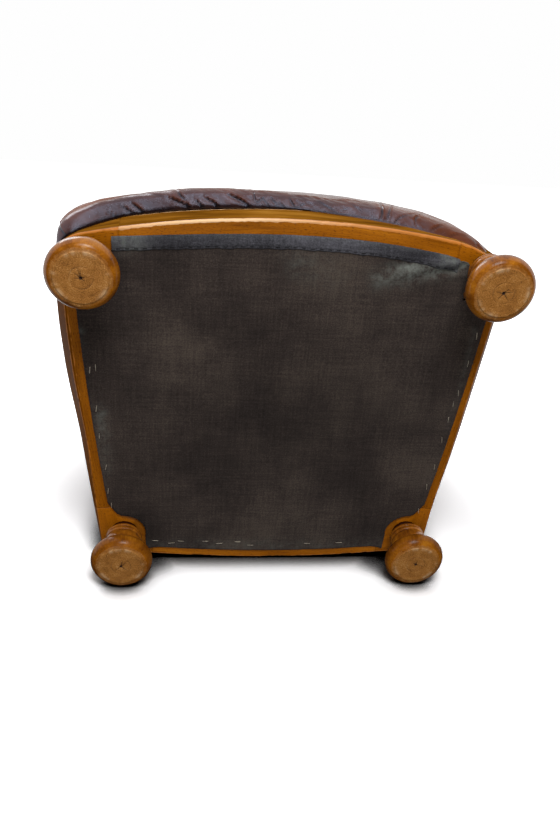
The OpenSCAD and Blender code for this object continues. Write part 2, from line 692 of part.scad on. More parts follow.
// The cushion's lower part lies along the border's inner face
function along(z) = (z - rail_top) / (border_top - rail_top);
function inner_from(set_in, z) = border_in + 2 * gap + (set_in + border_t - border_in) * along(z);
function inner_ring(z) = seat_ring(inner_from(border_lean, z), inner_from(border_side, z), 0, z);
function edge_ring(d, back, z) = seat_ring(border_lean + d, border_side + d, back, z);
crown_shares = [0.985, 0.95, 0.88, 0.75, 0.55, 0.3];
module seat_cushion() {
  edge = edge_ring(seat_edge_h / 3, seat_edge_h / 6, seat_edge);
  color(leather) loft(concat([inner_ring(seat_low), inner_ring(border_top + gap),
      edge_ring(lip / 2, gap, border_top + 2 * gap), edge_ring(0, gap, border_top + lip),
      edge_ring(lip / 3, gap, seat_edge - lip), edge],
    [for (k = crown_shares) [for (q = edge)
      [q[0] * k, seat_mid[1] + (q[1] - seat_mid[1]) * k, seat_edge + seat_crown * sqrt(1 - k * k)]]]));
}

// The back's stuffing: flat behind the seat, crowned above it
back_low = (deck_top + gap - show_top) / cos(back_rake);
crown_low = (seat_edge + seat_crown - show_top) / cos(back_rake);
back_front = pad_v - back_pad_t;
function back_half(v, w) = half_at(arm_in - gap, rear_y + v * cos(back_rake) + w * sin(back_rake));
function back_ring(v, low, inset) =
  let (high = outside_back_h - gap - inset, bottom = low + inset * 0.8, r = lip + inset * 0.7)
  [for (q = [[1, -1, -90], [1, 1, 0], [-1, 1, 90], [-1, -1, 180]]) for (i = [0:4])
    let (w = (q[1] < 0 ? bottom + r : high - r), a = q[2] + 22.5 * i, x = back_half(v, w) - inset - r)
    [q[0] * x + r * cos(a), v, w + r * sin(a)]];
back_shares = [[0, 0.02], [0.3, 0.08], [0.55, 0.2], [0.78, 0.45], [0.93, 0.75], [1, 1]];
back_inset = back_pad_t * 3;
module back_cushion() {
  color(leather) back_frame() loft(concat(
      [back_ring(pad_end, back_low, lip), back_ring(pad_end - lip, back_low, 0)],
      [back_ring(back_front, back_low, 0)],
    [for (k = back_shares) back_ring(back_front - back_crown * k[0], crown_low, back_inset * k[1])]));
}
// The crest: a padded roll along the top of the back, lower at its ends
crest_shares = [[0, 0], [0, 0.4], [0.05, 0.68], [0.17, 0.88], [0.34, 0.98], [0.5, 1], [0.66, 0.98],
  [0.82, 0.88], [0.92, 0.68], [0.97, 0.4], [1, 0]];
crest_steps = 12;
module crest_roll() {
  w0 = outside_back_h + gap;
  front = back_front - back_crown * 0.6;
  half = half_at(panel_n + skin_t, back_pt(0, w0)[0]);
  color(leather) back_frame() loft([for (i = [-crest_steps:crest_steps])
    let (t = i / crest_steps, end = sqrt(1 - pow(abs(t), 8) * 0.75), h = (crest_h - crest_drop * t * t) * end)
    [for (q = crest_shares) [half * t, front * (0.5 + (0.5 - q[0]) * end), w0 + h * q[1]]]]);
}

// The dust cover, cut round the feet, with its folded hem along the front
module cover_form() {
  difference() {
    intersection() {
      translate(front_c) circle(r = front_bow_r - cover_in_front, $fn = 200);
      translate(rear_c) circle(r = rear_bow_r - cover_in_rear, $fn = 200);
      translate(side_c) circle(r = side_bow_r - cover_in_side, $fn = 360);
      mirror([1, 0]) translate(side_c) circle(r = side_bow_r - cover_in_side, $fn = 360);
    }
    for (left = [true, false]) mirrored(left) {
      translate([front_foot_gap / 2 - collar_r, foot_y - bun_r]) square([overall_d, 2 * bun_r]);
      translate([rear_foot_gap / 2, rear_foot_y - collar_r]) square(overall_d);
      translate([rear_foot_gap / 2, rear_foot_y]) circle(r = collar_r + lip / 2, $fn = 48);
    }
  }
}
module dust_cover() {
  color("#2c2727") {
    translate([0, 0, foot_h - cover_t]) linear_extrude(cover_t) cover_form();
    translate([0, 0, foot_h - 2 * cover_t]) linear_extrude(cover_t) difference() {
      cover_form();
      translate(front_c) circle(r = front_bow_r - cover_in_front - hem_w, $fn = 200);
    }
  }
}
module staple() {
  translate([-staple_t / 2, -staple_l / 2, foot_h - cover_t - staple_t]) cube([staple_t, staple_l, staple_t]);
}
module cover_staples() {
  color("#b9a994") {
    span = foot_pitch - 2 * front_joint_s - rear_joint_s;
    for (left = [true, false]) mirrored(left) for (i = [0:side_staples - 1]) {
      y = foot_y + 2 * front_joint_s + span * i / (side_staples - 1);
      x = side_c[0] + sqrt(pow(side_bow_r - cover_in_side - staple_l, 2) - pow(y - side_c[1], 2));
      translate([x, y, 0]) rotate([0, 0, side_turn]) staple();
    }
    for (i = [0:rear_staples - 1]) {
      x = (rear_joint_x - lip) * (2 * i / (rear_staples - 1) - 1);
      y = rear_c[1] + sqrt(pow(rear_bow_r - cover_in_rear - staple_l, 2) - x * x);
      translate([x, y, 0]) rotate([0, 0, 90]) staple();
    }
  }
}

front_left_foot();
front_right_foot();
rear_left_foot();
rear_right_foot();
foot_studs();
corner_blocks();
front_rail();
rear_rail();
left_side_rail();
right_side_rail();
frame_dowels();
left_arm_post();
right_arm_post();
left_arm_rail();
right_arm_rail();
left_back_post();
right_back_post();
back_top_rail();
back_lower_rail();
left_wing_frame();
right_wing_frame();
seat_webbing();
cross_webbing();
deck_cloth();
back_webbing();
seat_cushion();
seat_front_roll();
back_cushion();
crest_roll();
left_arm_pad();
right_arm_pad();
left_arm_scroll();
right_arm_scroll();
left_arm_facing();
right_arm_facing();
left_outer_arm();
right_outer_arm();
left_wing_pad();
right_wing_pad();
left_outer_wing();
right_outer_wing();
outside_back();
dust_cover();
cover_staples();
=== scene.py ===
import math
import bpy
import numpy as np
from mathutils import Matrix, Vector


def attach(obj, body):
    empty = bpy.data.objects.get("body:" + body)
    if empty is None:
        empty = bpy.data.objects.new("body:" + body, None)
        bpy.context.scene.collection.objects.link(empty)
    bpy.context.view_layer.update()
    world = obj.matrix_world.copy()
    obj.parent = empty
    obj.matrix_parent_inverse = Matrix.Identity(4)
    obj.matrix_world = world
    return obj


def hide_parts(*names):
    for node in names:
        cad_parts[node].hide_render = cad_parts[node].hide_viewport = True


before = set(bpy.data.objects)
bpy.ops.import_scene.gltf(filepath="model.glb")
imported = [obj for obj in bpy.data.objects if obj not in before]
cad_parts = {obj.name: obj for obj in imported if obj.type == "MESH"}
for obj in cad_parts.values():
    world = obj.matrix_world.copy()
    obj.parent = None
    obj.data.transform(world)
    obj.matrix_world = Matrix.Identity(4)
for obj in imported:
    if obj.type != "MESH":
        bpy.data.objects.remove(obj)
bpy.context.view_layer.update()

print("frame loaded:", len(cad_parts), "solids")

# camera
photoView = dict(place=(-0.15256, -0.72894, -0.98538), right=(0.9923, -0.0790, -0.0951), down=(0.0158, 0.8441, -0.5359),
                 ahead=(0.1226, 0.5303, 0.8389), lens=35.19, width=560, height=840)
camData = bpy.data.cameras.new("camera")
camData.sensor_fit = "VERTICAL"
camData.sensor_height = 36.0
camData.lens = photoView["lens"]
camData.clip_start = 0.05
camera = bpy.data.objects.new("camera", camData)
bpy.context.scene.collection.objects.link(camera)
axes = Matrix((photoView["right"], [-v for v in photoView["down"]], [-v for v in photoView["ahead"]])).transposed()
camera.matrix_world = Matrix.Translation(photoView["place"]) @ axes.to_4x4()
bpy.context.scene.camera = camera
bpy.context.scene.view_settings.view_transform = "Standard"
print("camera set")


# node and mesh helpers
def colour(text):
    # an sRGB hex value turned to linear: c / 12.92 below 0.04045, else ((c + 0.055) / 1.055) to the power 2.4
    c = np.array([int(text[i:i + 2], 16) / 255 for i in (1, 3, 5)])
    return tuple(np.where(c <= 0.04045, c / 12.92, ((c + 0.055) / 1.055) ** 2.4)) + (1.0,)


def add(tree, kind, links=None, stops=None, **settings):
    # adds one shader node: settings are its own fields, links maps a socket to a value or to another node's output
    node = tree.nodes.new("ShaderNode" + kind)
    for key, value in settings.items():
        setattr(node, key, value)
    if stops:
        elements = node.color_ramp.elements
        while len(elements) < len(stops):
            elements.new(0.5)
        for element, (place, tone) in zip(elements, stops):
            element.position = place
            element.color = colour(tone) if isinstance(tone, str) else (tone, tone, tone, 1)
    for key, value in (links or {}).items():
        if isinstance(value, bpy.types.NodeSocket):
            tree.links.new(value, node.inputs[key])
        else:
            node.inputs[key].default_value = value
    return node


def painted(t, name):
    # the values stored on a mesh's points under this name
    return add(t, "Attribute", attribute_name=name).outputs["Fac"]


def noise(t, place, scale, detail, **more):
    # soft noise from 0 to 1, its blotches about 1 / scale metres wide
    return add(t, "TexNoise", {"Vector": place, "Scale": scale, "Detail": detail, **more}).outputs["Fac"]


def threads(t, place, scale, way, **more):
    # even bands across one axis
    return add(t, "TexWave", {"Vector": place, "Scale": scale, **more}, bands_direction=way).outputs["Fac"]


def stretched(t, place, scale):
    # a place with each of its axes multiplied by its own scale
    return add(t, "Mapping", {0: place, "Scale": scale}).outputs[0]


def ramp(t, value, *stops):
    # value carried over to the tones or shares at the stops, straight between them
    return add(t, "ValToRGB", {0: value}, stops=stops).outputs[0]


def blend(t, share, first, second):
    # first times (1 - share) plus second times share
    return add(t, "Mix", {"Factor": share, 6: first, 7: second}, data_type="RGBA").outputs[2]


def times(t, a, b, c=None):
    # a times b, and plus c where there is one
    if c is None:
        return add(t, "Math", {0: a, 1: b}, operation="MULTIPLY").outputs[0]
    return add(t, "Math", {0: a, 1: b, 2: c}, operation="MULTIPLY_ADD").outputs[0]


def bumped(t, height, strength, distance):
    # the normal tilted by the slope of height times distance
    return add(t, "Bump", {"Height": height, "Strength": strength, "Distance": distance}).outputs[0]


def material(name):
    # an empty material and its node tree
    made = bpy.data.materials.new(name)
    made.use_nodes = True
    made.node_tree.nodes.clear()
    return made, made.node_tree


def putObject(name, data):
    # a new object of the scene
    made = bpy.data.objects.new(name, data)
    bpy.context.scene.collection.objects.link(made)
    return made


def putMesh(name, points, quads, fans=(), caps=(), corners=None, values=None, slot=None, finish=None):
    # points in mm; quads, triangles in fans and end polygons in caps index them; turned outwards by the sign of the volume
    points = np.asarray(points, float).reshape(-1, 3) * 0.001
    quads = np.asarray(quads, np.int64).reshape(-1, 4)
    tris = np.asarray(fans, np.int64).reshape(-1, 3)
    a, b, c, d = (points[quads[:, k]] for k in range(4))
    volume = np.einsum("ij,ij->i", a, np.cross(b, c) + np.cross(c, d)).sum()
    for cap in caps:
        q = points[cap]
        volume += np.einsum("ij,ij->i", np.cross(q, np.roll(q, -1, 0)), q.mean(0)[None]).sum()
    if len(tris):
        volume += np.einsum("ij,ij->i", points[tris[:, 0]], np.cross(points[tris[:, 1]], points[tris[:, 2]])).sum()
    uv = None if corners is None else np.asarray(corners, float).reshape(-1, 4, 2)
    if volume < 0:
        quads, tris = quads[:, ::-1], tris[:, ::-1]
        caps = [cap[::-1] for cap in caps]
        uv = None if uv is None else uv[:, ::-1]
    loops = np.concatenate([quads.ravel(), tris.ravel()] + [np.asarray(cap) for cap in caps])
    sizes = np.concatenate([np.full(len(quads), 4), np.full(len(tris), 3), np.array([len(cap) for cap in caps], int)])
    mesh = bpy.data.meshes.new(name)
    mesh.vertices.add(len(points))
    mesh.vertices.foreach_set("co", points.ravel())
    mesh.loops.add(len(loops))
    mesh.loops.foreach_set("vertex_index", loops)
    mesh.polygons.add(len(sizes))
    mesh.polygons.foreach_set("loop_start", np.concatenate([[0], np.cumsum(sizes)[:-1]]))
    mesh.polygons.foreach_set("use_smooth", np.ones(len(sizes), bool))
    mesh.update(calc_edges=True)
    mesh.validate()
    if uv is not None:
        layer = mesh.uv_layers.new(name="along")
        flat = np.zeros((len(mesh.loops), 2))
        flat[:uv.shape[0] * 4] = uv.reshape(-1, 2)
        layer.data.foreach_set("uv", flat.ravel())
    for key, value in (values or {}).items():
        field = mesh.attributes.new(key, "FLOAT", "POINT")
        field.data.foreach_set("value", np.broadcast_to(value, (len(points),)).astype(np.float32))
    piece = putObject(name, mesh)
    if finish is not None:
        mesh.materials.append(finish)
    return piece


def gridMesh(name, grid, ring=True, loop=False, closeEnds=True, values=None, along=None, across=None, **more):
    # grid[i, j] is a point of row i and column j. ring joins the last column to the first, loop the last row to the first,
    # and closeEnds fills the first and last rows. The UV map holds metres along the rows and metres round them.
    n, m = grid.shape[:2]
    i = np.arange(n if loop else n - 1)[:, None]
    j = np.arange(m if ring else m - 1)[None]
    i2, j2 = (i + 1) % n, (j + 1) % m
    quads = np.stack([i * m + j, i * m + j2, i2 * m + j2, i2 * m + j], -1).reshape(-1, 4)
    if along is None:
        step = np.linalg.norm(np.diff(grid, axis=0), axis=-1).mean(1)
        along = np.concatenate([[0], np.cumsum(step)])
        along = np.append(along, along[-1] + step.mean())
    if across is None:
        step = np.linalg.norm(np.diff(np.concatenate([grid, grid[:, :1]], 1), axis=1), axis=-1).mean(0)
        across = np.concatenate([[0], np.cumsum(step)])
    u, v = np.asarray(along) * 0.001, np.asarray(across) * 0.001
    uv = np.stack([np.stack([u[a] + 0 * j, v[b] + 0 * i], -1) for a, b in ((i, j), (i, j + 1), (i + 1, j + 1), (i + 1, j))], 2)
    caps = [np.arange(m)[::-1], (n - 1) * m + np.arange(m)] if closeEnds and not loop else []
    values = {k: np.asarray(w).reshape(-1) for k, w in (values or {}).items()}
    return putMesh(name, grid, quads, caps=caps, corners=uv, values=values, **more)


def waves(t, seed, lengths, power=0.5):
    # a seeded sum of sines of the given wavelengths, each as strong as a power of its wavelength, from about -1 to 1
    rng = np.random.default_rng(seed)
    total = np.zeros_like(np.asarray(t, float))
    weight = 0.0
    for length in lengths:
        size = length ** power
        total += size * np.sin(2 * np.pi * t / length + rng.uniform(0, 2 * np.pi))
        weight += size
    return total / (weight * 0.6)


def lumps(x, y, seed, sizes):
    # a seeded sum of plane waves in random directions, from about -1 to 1
    rng = np.random.default_rng(seed)
    total = np.zeros_like(x + y)
    for size in sizes:
        for turn in rng.uniform(0, 2 * np.pi, 3):
            total += np.sin(2 * np.pi * (x * np.cos(turn) + y * np.sin(turn)) / size + rng.uniform(0, 2 * np.pi))
    return total / (1.7 * len(sizes))


def ease(t):
    # a soft step: t squared times (3 - 2 t), with t held between 0 and 1
    t = np.clip(t, 0, 1)
    return t * t * (3 - 2 * t)


def ridge(distance, width):
    # a bell curve: e to the power of minus (distance / width) squared
    return np.exp(-(distance / width) ** 2)


def lengthsAlong(line):
    # the way along a polyline to each of its points: the running sum of its steps' lengths
    return np.concatenate([[0], np.cumsum(np.linalg.norm(np.diff(line, axis=0), axis=1))])


def mirrored(points, left):
    # points of the right side as they are, or with x turned to -x for the left one
    return points * np.array([-1, 1, 1.0]) if left else points


def toLine(x, y, line):
    # distance from points to a polyline, with the sign of the side they lie on, and the share of its length at the nearest place
    best, share = np.full(np.shape(x + y), 1e9), np.zeros(np.shape(x + y))
    line = np.asarray(line, float)
    lengths = np.linalg.norm(np.diff(line, axis=0), axis=1)
    done = 0.0
    for p, q, length in zip(line[:-1], line[1:], lengths):
        k = np.clip(((x - p[0]) * (q[0] - p[0]) + (y - p[1]) * (q[1] - p[1])) / length ** 2, 0, 1)
        d = np.hypot(x - p[0] - k * (q[0] - p[0]), y - p[1] - k * (q[1] - p[1]))
        nearer = d < np.abs(best)
        side = np.where((q[0] - p[0]) * (y - p[1]) - (q[1] - p[1]) * (x - p[0]) < 0, -1, 1)
        best = np.where(nearer, d * side, best)
        share = np.where(nearer, (done + k * length) / lengths.sum(), share)
        done += length
    return best, share


def pixels(points):
    # where points in mm show in the photograph, in its pixels
    rows = np.array([photoView["right"], photoView["down"], photoView["ahead"]])
    q = (np.asarray(points) * 0.001 - np.array(photoView["place"])) @ rows.T
    f = photoView["lens"] / 36 * photoView["height"]
    return np.stack([photoView["width"] / 2 + f * q[..., 0] / q[..., 2], photoView["height"] / 2 + f * q[..., 1] / q[..., 2]], -1)


def onPlane(px, py, height):
    # where the photograph's pixel meets the level plane at that height, in mm
    f = photoView["lens"] / 36 * photoView["height"]
    rows = np.array([photoView["right"], photoView["down"], photoView["ahead"]])
    ray = np.array([(px - photoView["width"] / 2) / f, (py - photoView["height"] / 2) / f, 1.0]) @ rows
    eye = np.array(photoView["place"]) * 1000
    return eye + ray * (height - eye[2]) / ray[2]


# materials
def surface(tree, shade, **fixed):
    # joins a shader to the material's output and sets its fixed values
    out = add(tree, "OutputMaterial")
    tree.links.new(shade.outputs[0], out.inputs[0])
    for key, value in fixed.items():
        shade.inputs[key].default_value = value


def stainedBeech():
    # stained and polished beech: fine straight grain with short dark flecks, shiny, and rubbed pale along its edges
    made, t = material("stained_beech")
    uv = add(t, "UVMap", uv_map="along").outputs[0]
    # grain lines about 1.6 mm apart and 60 mm long
    lines = stretched(t, uv, (1 / 0.06, 1 / 0.0016, 1))
    grain = noise(t, lines, 1.0, 4.0, Roughness=0.6)
    # broad bands of stain, 20 mm by 150 mm
    broad = stretched(t, uv, (1 / 0.15, 1 / 0.02, 1))
    band = noise(t, broad, 1.0, 3.0, Distortion=0.4)
    # ray flecks, 0.9 mm by 5 mm
    small = stretched(t, uv, (1 / 0.005, 1 / 0.0009, 1))
    fleck = noise(t, small, 1.0, 2.0)
    fleck = ramp(t, fleck, (0.56, 0.0), (0.70, 1.0))
    mixed = times(t, grain, 0.45)
    mixed = times(t, band, 0.6, mixed)
    tone = ramp(t, mixed, (0.32, "#6b3703"), (0.46, "#945405"), (0.57, "#a66006"), (0.72, "#ba720d"))
    tone = blend(t, fleck, tone, colour("#5b2c0a"))
    # shade is painted shade: darker at the joints' ends, all over the side rails, on the canted cuts and inside the
    # rabbet
    shade = painted(t, "shade")
    tone = blend(t, shade, tone, colour("#3c1a05"))
    face = painted(t, "face")
    olive = ramp(t, mixed, (0.33, "#422408"), (0.47, "#6a410c"), (0.58, "#8b5a18"), (0.74, "#b28034"))
    tone = blend(t, face, tone, olive)
    worn = painted(t, "worn")
    patch = stretched(t, uv, (1 / 0.012, 1 / 0.004, 1))
    patch = noise(t, patch, 1.0, 3.0)
    worn = add(t, "Math", {0: worn, 1: patch}, operation="ADD").outputs[0]
    worn = ramp(t, worn, (0.90, 0.0), (1.0, 1.0))
    bare = painted(t, "bare")
    pale = blend(t, bare, colour("#b8702a"), colour("#e6bb8b"))
    tone = blend(t, worn, tone, pale)
    rough = ramp(t, band, (0.3, 0.30), (0.7, 0.46))
    bump = bumped(t, grain, 0.12, 0.0004)
    # the band and the darker cuts are less polished than the undersides
    dull = times(t, face, 1.0, times(t, shade, 1.7))
    gloss = times(t, 0.22, ramp(t, dull, (0.0, 1.0), (1.0, 0.0)))
    coat = times(t, gloss, 0.3)
    shader = add(t, "BsdfPrincipled", {"Base Color": tone, "Roughness": rough, "Normal": bump, "Specular IOR Level": gloss,
                                       "Coat Weight": coat})
    surface(t, shader, **{"Coat Roughness": 0.15, "IOR": 1.45})
    return made


def turnedBeech():
    # turned feet in the same beech: polished round the bun, dark in the grooves, and worn to bare end grain underneath
    made, t = material("turned_beech")
    uv = add(t, "UVMap", uv_map="along").outputs[0]
    place = add(t, "TexCoord").outputs["Object"]
    # stain clouds 25 mm wide, and grain lines 2 mm apart running up the foot
    cloud = noise(t, place, 38.0, 4.0, Distortion=0.3)
    lines = stretched(t, place, (420, 420, 30))
    grain = noise(t, lines, 1.0, 3.0)
    mixed = times(t, grain, 0.3)
    mixed = times(t, cloud, 0.75, mixed)
    tone = ramp(t, mixed, (0.30, "#4a2404"), (0.48, "#7c450a"), (0.62, "#9a5c11"), (0.78, "#b37722"))
    # grooveAndShade: dark stain in the grooves, and painted shade on the buns
    grooveAndShade = painted(t, "grooveAndShade")
    tone = blend(t, grooveAndShade, tone, colour("#2c1004"))
    # the ground face: scuffed tan end grain, with pores and scratches about a millimetre wide
    pore = noise(t, place, 620.0, 5.0, Roughness=0.75)
    scuff = noise(t, place, 60.0, 6.0, Roughness=0.7, Distortion=0.8)
    mark = times(t, scuff, 0.34)
    mark = times(t, pore, 0.68, mark)
    bare = ramp(t, mark, (0.37, "#56320e"), (0.47, "#8a5820"), (0.55, "#a26c2e"), (0.68, "#c99d66"))
    rim = painted(t, "rim")
    rim = times(t, rim, pore, rim)
    bare = blend(t, rim, bare, colour("#c3a27a"))
    crack = painted(t, "crack")
    bare = blend(t, crack, bare, colour("#2a1607"))
    under = painted(t, "under")
    edge = times(t, scuff, 0.7, under)
    edge = ramp(t, edge, (0.72, 0.0), (0.92, 1.0))
    tone = blend(t, edge, tone, bare)
    rough = add(t, "Mix", {"Factor": edge, 2: 0.24, 3: 0.78}).outputs[0]
    height = times(t, mark, edge)
    bump = bumped(t, height, 0.5, 0.0008)
    # the polish shines least in the grooves and where shade is painted
    gloss = ramp(t, grooveAndShade, (0.05, 1.0), (0.32, 0.1))
    coat = times(t, gloss, 0.42)
    gloss = times(t, gloss, 0.3)
    shader = add(t, "BsdfPrincipled", {"Base Color": tone, "Roughness": rough, "Normal": bump, "Specular IOR Level": gloss,
                                       "Coat Weight": coat})
    surface(t, shader, **{"Coat Roughness": 0.1, "IOR": 1.45})
    return made


def agedLeather():
    # waxed brown hide: fine pebbled grain, with painted shade in its folds and seams, rubbed lighter and redder on what
    # stands out, and with painted light on the front roll's upper part
    made, t = material("aged_leather")
    place = add(t, "TexCoord").outputs["Object"]
    # patches of wear 90 mm wide, and pebbles of about 1.4 mm
    patch = noise(t, place, 11.0, 5.0, Roughness=0.6, Distortion=0.5)
    pebble = add(t, "TexVoronoi", {"Vector": place, "Scale": 700.0, "Randomness": 1.0}, feature="DISTANCE_TO_EDGE").outputs["Distance"]
    # creases 12 mm apart, stretched by a second noise
    crease = noise(t, place, 85.0, 3.0, Roughness=0.55, Distortion=1.3)
    tone = ramp(t, patch, (0.30, "#2e140c"), (0.50, "#432214"), (0.62, "#552e1f"), (0.78, "#6a3f2c"))
    # foldShade: painted shade in folds, seams, pleats and creases
    foldShade = painted(t, "foldShade")
    tone = blend(t, foldShade, tone, colour("#0b0405"))
    # rubAndLight: rubbed wear, and on the front roll's upper part painted light
    rubAndLight = painted(t, "rubAndLight")
    tone = blend(t, rubAndLight, tone, colour("#82492e"))
    rough = ramp(t, crease, (0.3, 0.18), (0.7, 0.30))
    height = times(t, crease, 0.55)
    height = times(t, pebble, 0.3, height)
    bump = bumped(t, height, 0.35, 0.0008)
    # the hide shines less where it is rubbed and where light is painted on
    wax = ramp(t, rubAndLight, (0.08, 1.0), (0.26, 0.12), (0.50, 0.02))
    shader = add(t, "BsdfPrincipled", {"Base Color": tone, "Roughness": rough, "Normal": bump, "Specular IOR Level": wax})
    surface(t, shader, **{"Coat Weight": 0.0, "IOR": 1.45, "Specular Tint": colour("#d3d8f2")})
    return made


def wovenCambric(name, low, mid, high):
    # black cambric: a plain weave of dull threads, dusty along its edges. Its threads are 0.5 mm and are drawn 1.7 mm wide to show
    made, t = material(name)
    place = add(t, "TexCoord").outputs["Object"]
    warp, weft = (threads(t, place, 185.0, way, **{"Distortion": 2.0, "Detail": 2.0, "Detail Scale": 2.0}) for way in "XY")
    weave = times(t, warp, weft)
    # slubs, thicker threads 3 mm wide and 60 mm long, both ways, and fluff 2 mm across
    along = noise(t, stretched(t, place, (16, 330, 1)), 1.0, 2.0)
    cross = noise(t, stretched(t, place, (330, 16, 1)), 1.0, 2.0)
    slub = add(t, "Math", {0: along, 1: cross}, operation="ADD").outputs[0]
    cloud = noise(t, place, 9.0, 4.0)
    fluff = noise(t, place, 480.0, 3.0, Roughness=0.7)
    level = times(t, slub, 0.14)
    level = times(t, cloud, 0.42, level)
    level = times(t, fluff, 0.42, level)
    level = times(t, weave, 0.12, level)
    tone = ramp(t, level, (0.42, low), (0.58, mid), (0.76, high))
    dust = painted(t, "dust")
    fuzz = noise(t, place, 75.0, 5.0, Roughness=0.7)
    dust = times(t, dust, ramp(t, fuzz, (0.38, 0.05), (0.66, 1.0)))
    tone = blend(t, dust, tone, colour("#6d716b"))
    # darkAndShade: painted shade, and a broad darker patch on the cover's middle
    darkAndShade = painted(t, "darkAndShade")
    tone = blend(t, darkAndShade, tone, colour("#0c0a0a"))
    bump = bumped(t, level, 0.6, 0.0008)
    shader = add(t, "BsdfPrincipled", {"Base Color": tone, "Normal": bump})
    surface(t, shader, **{"Roughness": 0.9, "Sheen Weight": 0.05, "Sheen Roughness": 0.5, "IOR": 1.45, "Specular IOR Level": 0.12})
    return made


def wornSteel(name, tones, rough):
    # steel wire or rod: bright where rubbed, dull where the coating has gone
    made, t = material(name)
    place = add(t, "TexCoord").outputs["Object"]
    spot = noise(t, place, 400.0, 3.0)
    tone = ramp(t, spot, (0.35, tones[0]), (0.62, tones[1]))
    shader = add(t, "BsdfPrincipled", {"Base Color": tone})
    surface(t, shader, Metallic=0.55, Roughness=rough)
    return made


def sawnBeech():
    # unfinished frame timber: pale, with saw marks 4 mm apart
    made, t = material("sawn_beech")
    place = add(t, "TexCoord").outputs["Object"]
    grain = noise(t, stretched(t, place, (300, 300, 14)), 1.0, 4.0)
    saw = threads(t, place, 78.0, "Z", Distortion=3.0)
    tone = ramp(t, grain, (0.35, "#a67c4c"), (0.55, "#c69d69"), (0.7, "#d8b687"))
    bump = bumped(t, saw, 0.2, 0.0005)
    surface(t, add(t, "BsdfPrincipled", {"Base Color": tone, "Normal": bump}), Roughness=0.75)
    return made


def wovenJute(name, tones, scale):
    # jute webbing or hessian: coarse tan threads crossing, scale sets their spacing
    made, t = material(name)
    place = add(t, "TexCoord").outputs["Object"]
    warp, weft = (threads(t, place, scale, way, Distortion=1.0) for way in "XY")
    weave = add(t, "Math", {0: warp, 1: weft}, operation="MAXIMUM").outputs[0]
    tone = ramp(t, weave, (0.2, tones[0]), (0.8, tones[1]))
    bump = bumped(t, weave, 0.7, 0.001)
    surface(t, add(t, "BsdfPrincipled", {"Base Color": tone, "Normal": bump}), Roughness=0.9)
    return made


beech, feetWood, hide = stainedBeech(), turnedBeech(), agedLeather()
cambric = wovenCambric("woven_cambric", "#1c1715", "#332b28", "#51473f")
hemCloth = wovenCambric("folded_cambric", "#232226", "#3a393d", "#5f5e65")
stapleWire = wornSteel("staple_wire", ("#8d8272", "#d9cdb8"), 0.45)
rodSteel = wornSteel("zinc_rod", ("#7d7f80", "#b4b7b8"), 0.35)
timber = sawnBeech()
webCloth = wovenJute("jute_webbing", ("#8a7248", "#c3ab7c"), 100.0)
deckCloth = wovenJute("deck_hessian", ("#7c6844", "#b39c70"), 160.0)
print("materials made")

# seat frame
seatFrame = dict(frontY=-371.0, rearY=229.0, footY=-312.0, pitch=484.0, low=86.0, band=130.0, top=174.0, frontHalf=327.0, rearHalf=282.0,
                 frontBow=1320.0, rearBow=2100.0, sideBow=4900.0, frontCorner=50.0, rearCorner=26.0, rail=36.0, rabbet=5.0,
                 leastCorner=8.0,
                 cantFront=13.0, cantRear=4.0, cantHeight=22.0, frontJointX=236.0, rearJointX=194.0, frontJointS=50.0, rearJointS=48.0,
                 arris=2.4, bandArris=1.7, wear=0.7)
sideTurn = math.atan((seatFrame["frontHalf"] - seatFrame["rearHalf"]) / seatFrame["pitch"])
sideOut = np.array([math.cos(sideTurn), math.sin(sideTurn)])
sideBack = np.array([-math.sin(sideTurn), math.cos(sideTurn)])
sidePoint = np.array([seatFrame["frontHalf"], seatFrame["footY"]])
sideLength = seatFrame["pitch"] / math.cos(sideTurn)
sideRise = math.sqrt(seatFrame["sideBow"] ** 2 - sideLength ** 2 / 4)


def sideXY(n, s):
    # a point n outwards from the chair's side and s backwards along it
    n, s = np.broadcast_arrays(np.asarray(n, float), np.asarray(s, float))
    return sidePoint + n[..., None] * sideOut + s[..., None] * sideBack


frontCentre = np.array([0, seatFrame["frontY"] + seatFrame["frontBow"]])
rearCentre = np.array([0, seatFrame["rearY"] - seatFrame["rearBow"]])
sideCentre = sideXY(-sideRise, sideLength / 2)


def meet(a, ra, b, rb):
    # where two circles meet, on the left of the way from the first centre to the second
    d = np.linalg.norm(b - a)
    u = (b - a) / d
    k = (ra ** 2 - rb ** 2 + d ** 2) / (2 * d)
    return a + k[..., None] * u + np.sqrt(ra ** 2 - k ** 2)[..., None] * np.array([-u[1], u[0]])


def arc(centre, radius, a, b, t):
    # points of an arc: rows follow t from angle a to angle b, columns follow the radii
    angle = a + (b - a) * t[:, None]
    return centre + radius[..., None] * np.stack([np.cos(angle), np.sin(angle)], -1)


def angleOf(v):
    # a direction's angle: the arc tangent of its y over its x
    return np.arctan2(v[..., 1], v[..., 0])


def sideN(e, s):
    # how far out the side's bowed line, set in by e, stands at s: the root of radius squared less (s - half length) squared, less the
    # rise
    return np.sqrt((seatFrame["sideBow"] - e) ** 2 - (s - sideLength / 2) ** 2) - sideRise


def cornerAt(e, front):
    # centre and radius of a corner's arc, set in by e
    r = np.maximum((seatFrame["frontCorner"] if front else seatFrame["rearCorner"]) - e, seatFrame["leastCorner"])
    c = meet(frontCentre, seatFrame["frontBow"] - e - r, sideCentre,
             seatFrame["sideBow"] - e - r) if front else meet(sideCentre, seatFrame["sideBow"] - e - r, rearCentre,
                                                              seatFrame["rearBow"] - e - r)
    return c, r


def bentPath(points, count):
    # a polyline of the given corners, cut into equal steps
    points = np.asarray(points, float)
    length = lengthsAlong(points)
    t = np.linspace(0, length[-1], count)
    return np.stack([np.interp(t, length, points[:, 0]), np.interp(t, length, points[:, 1])], -1)


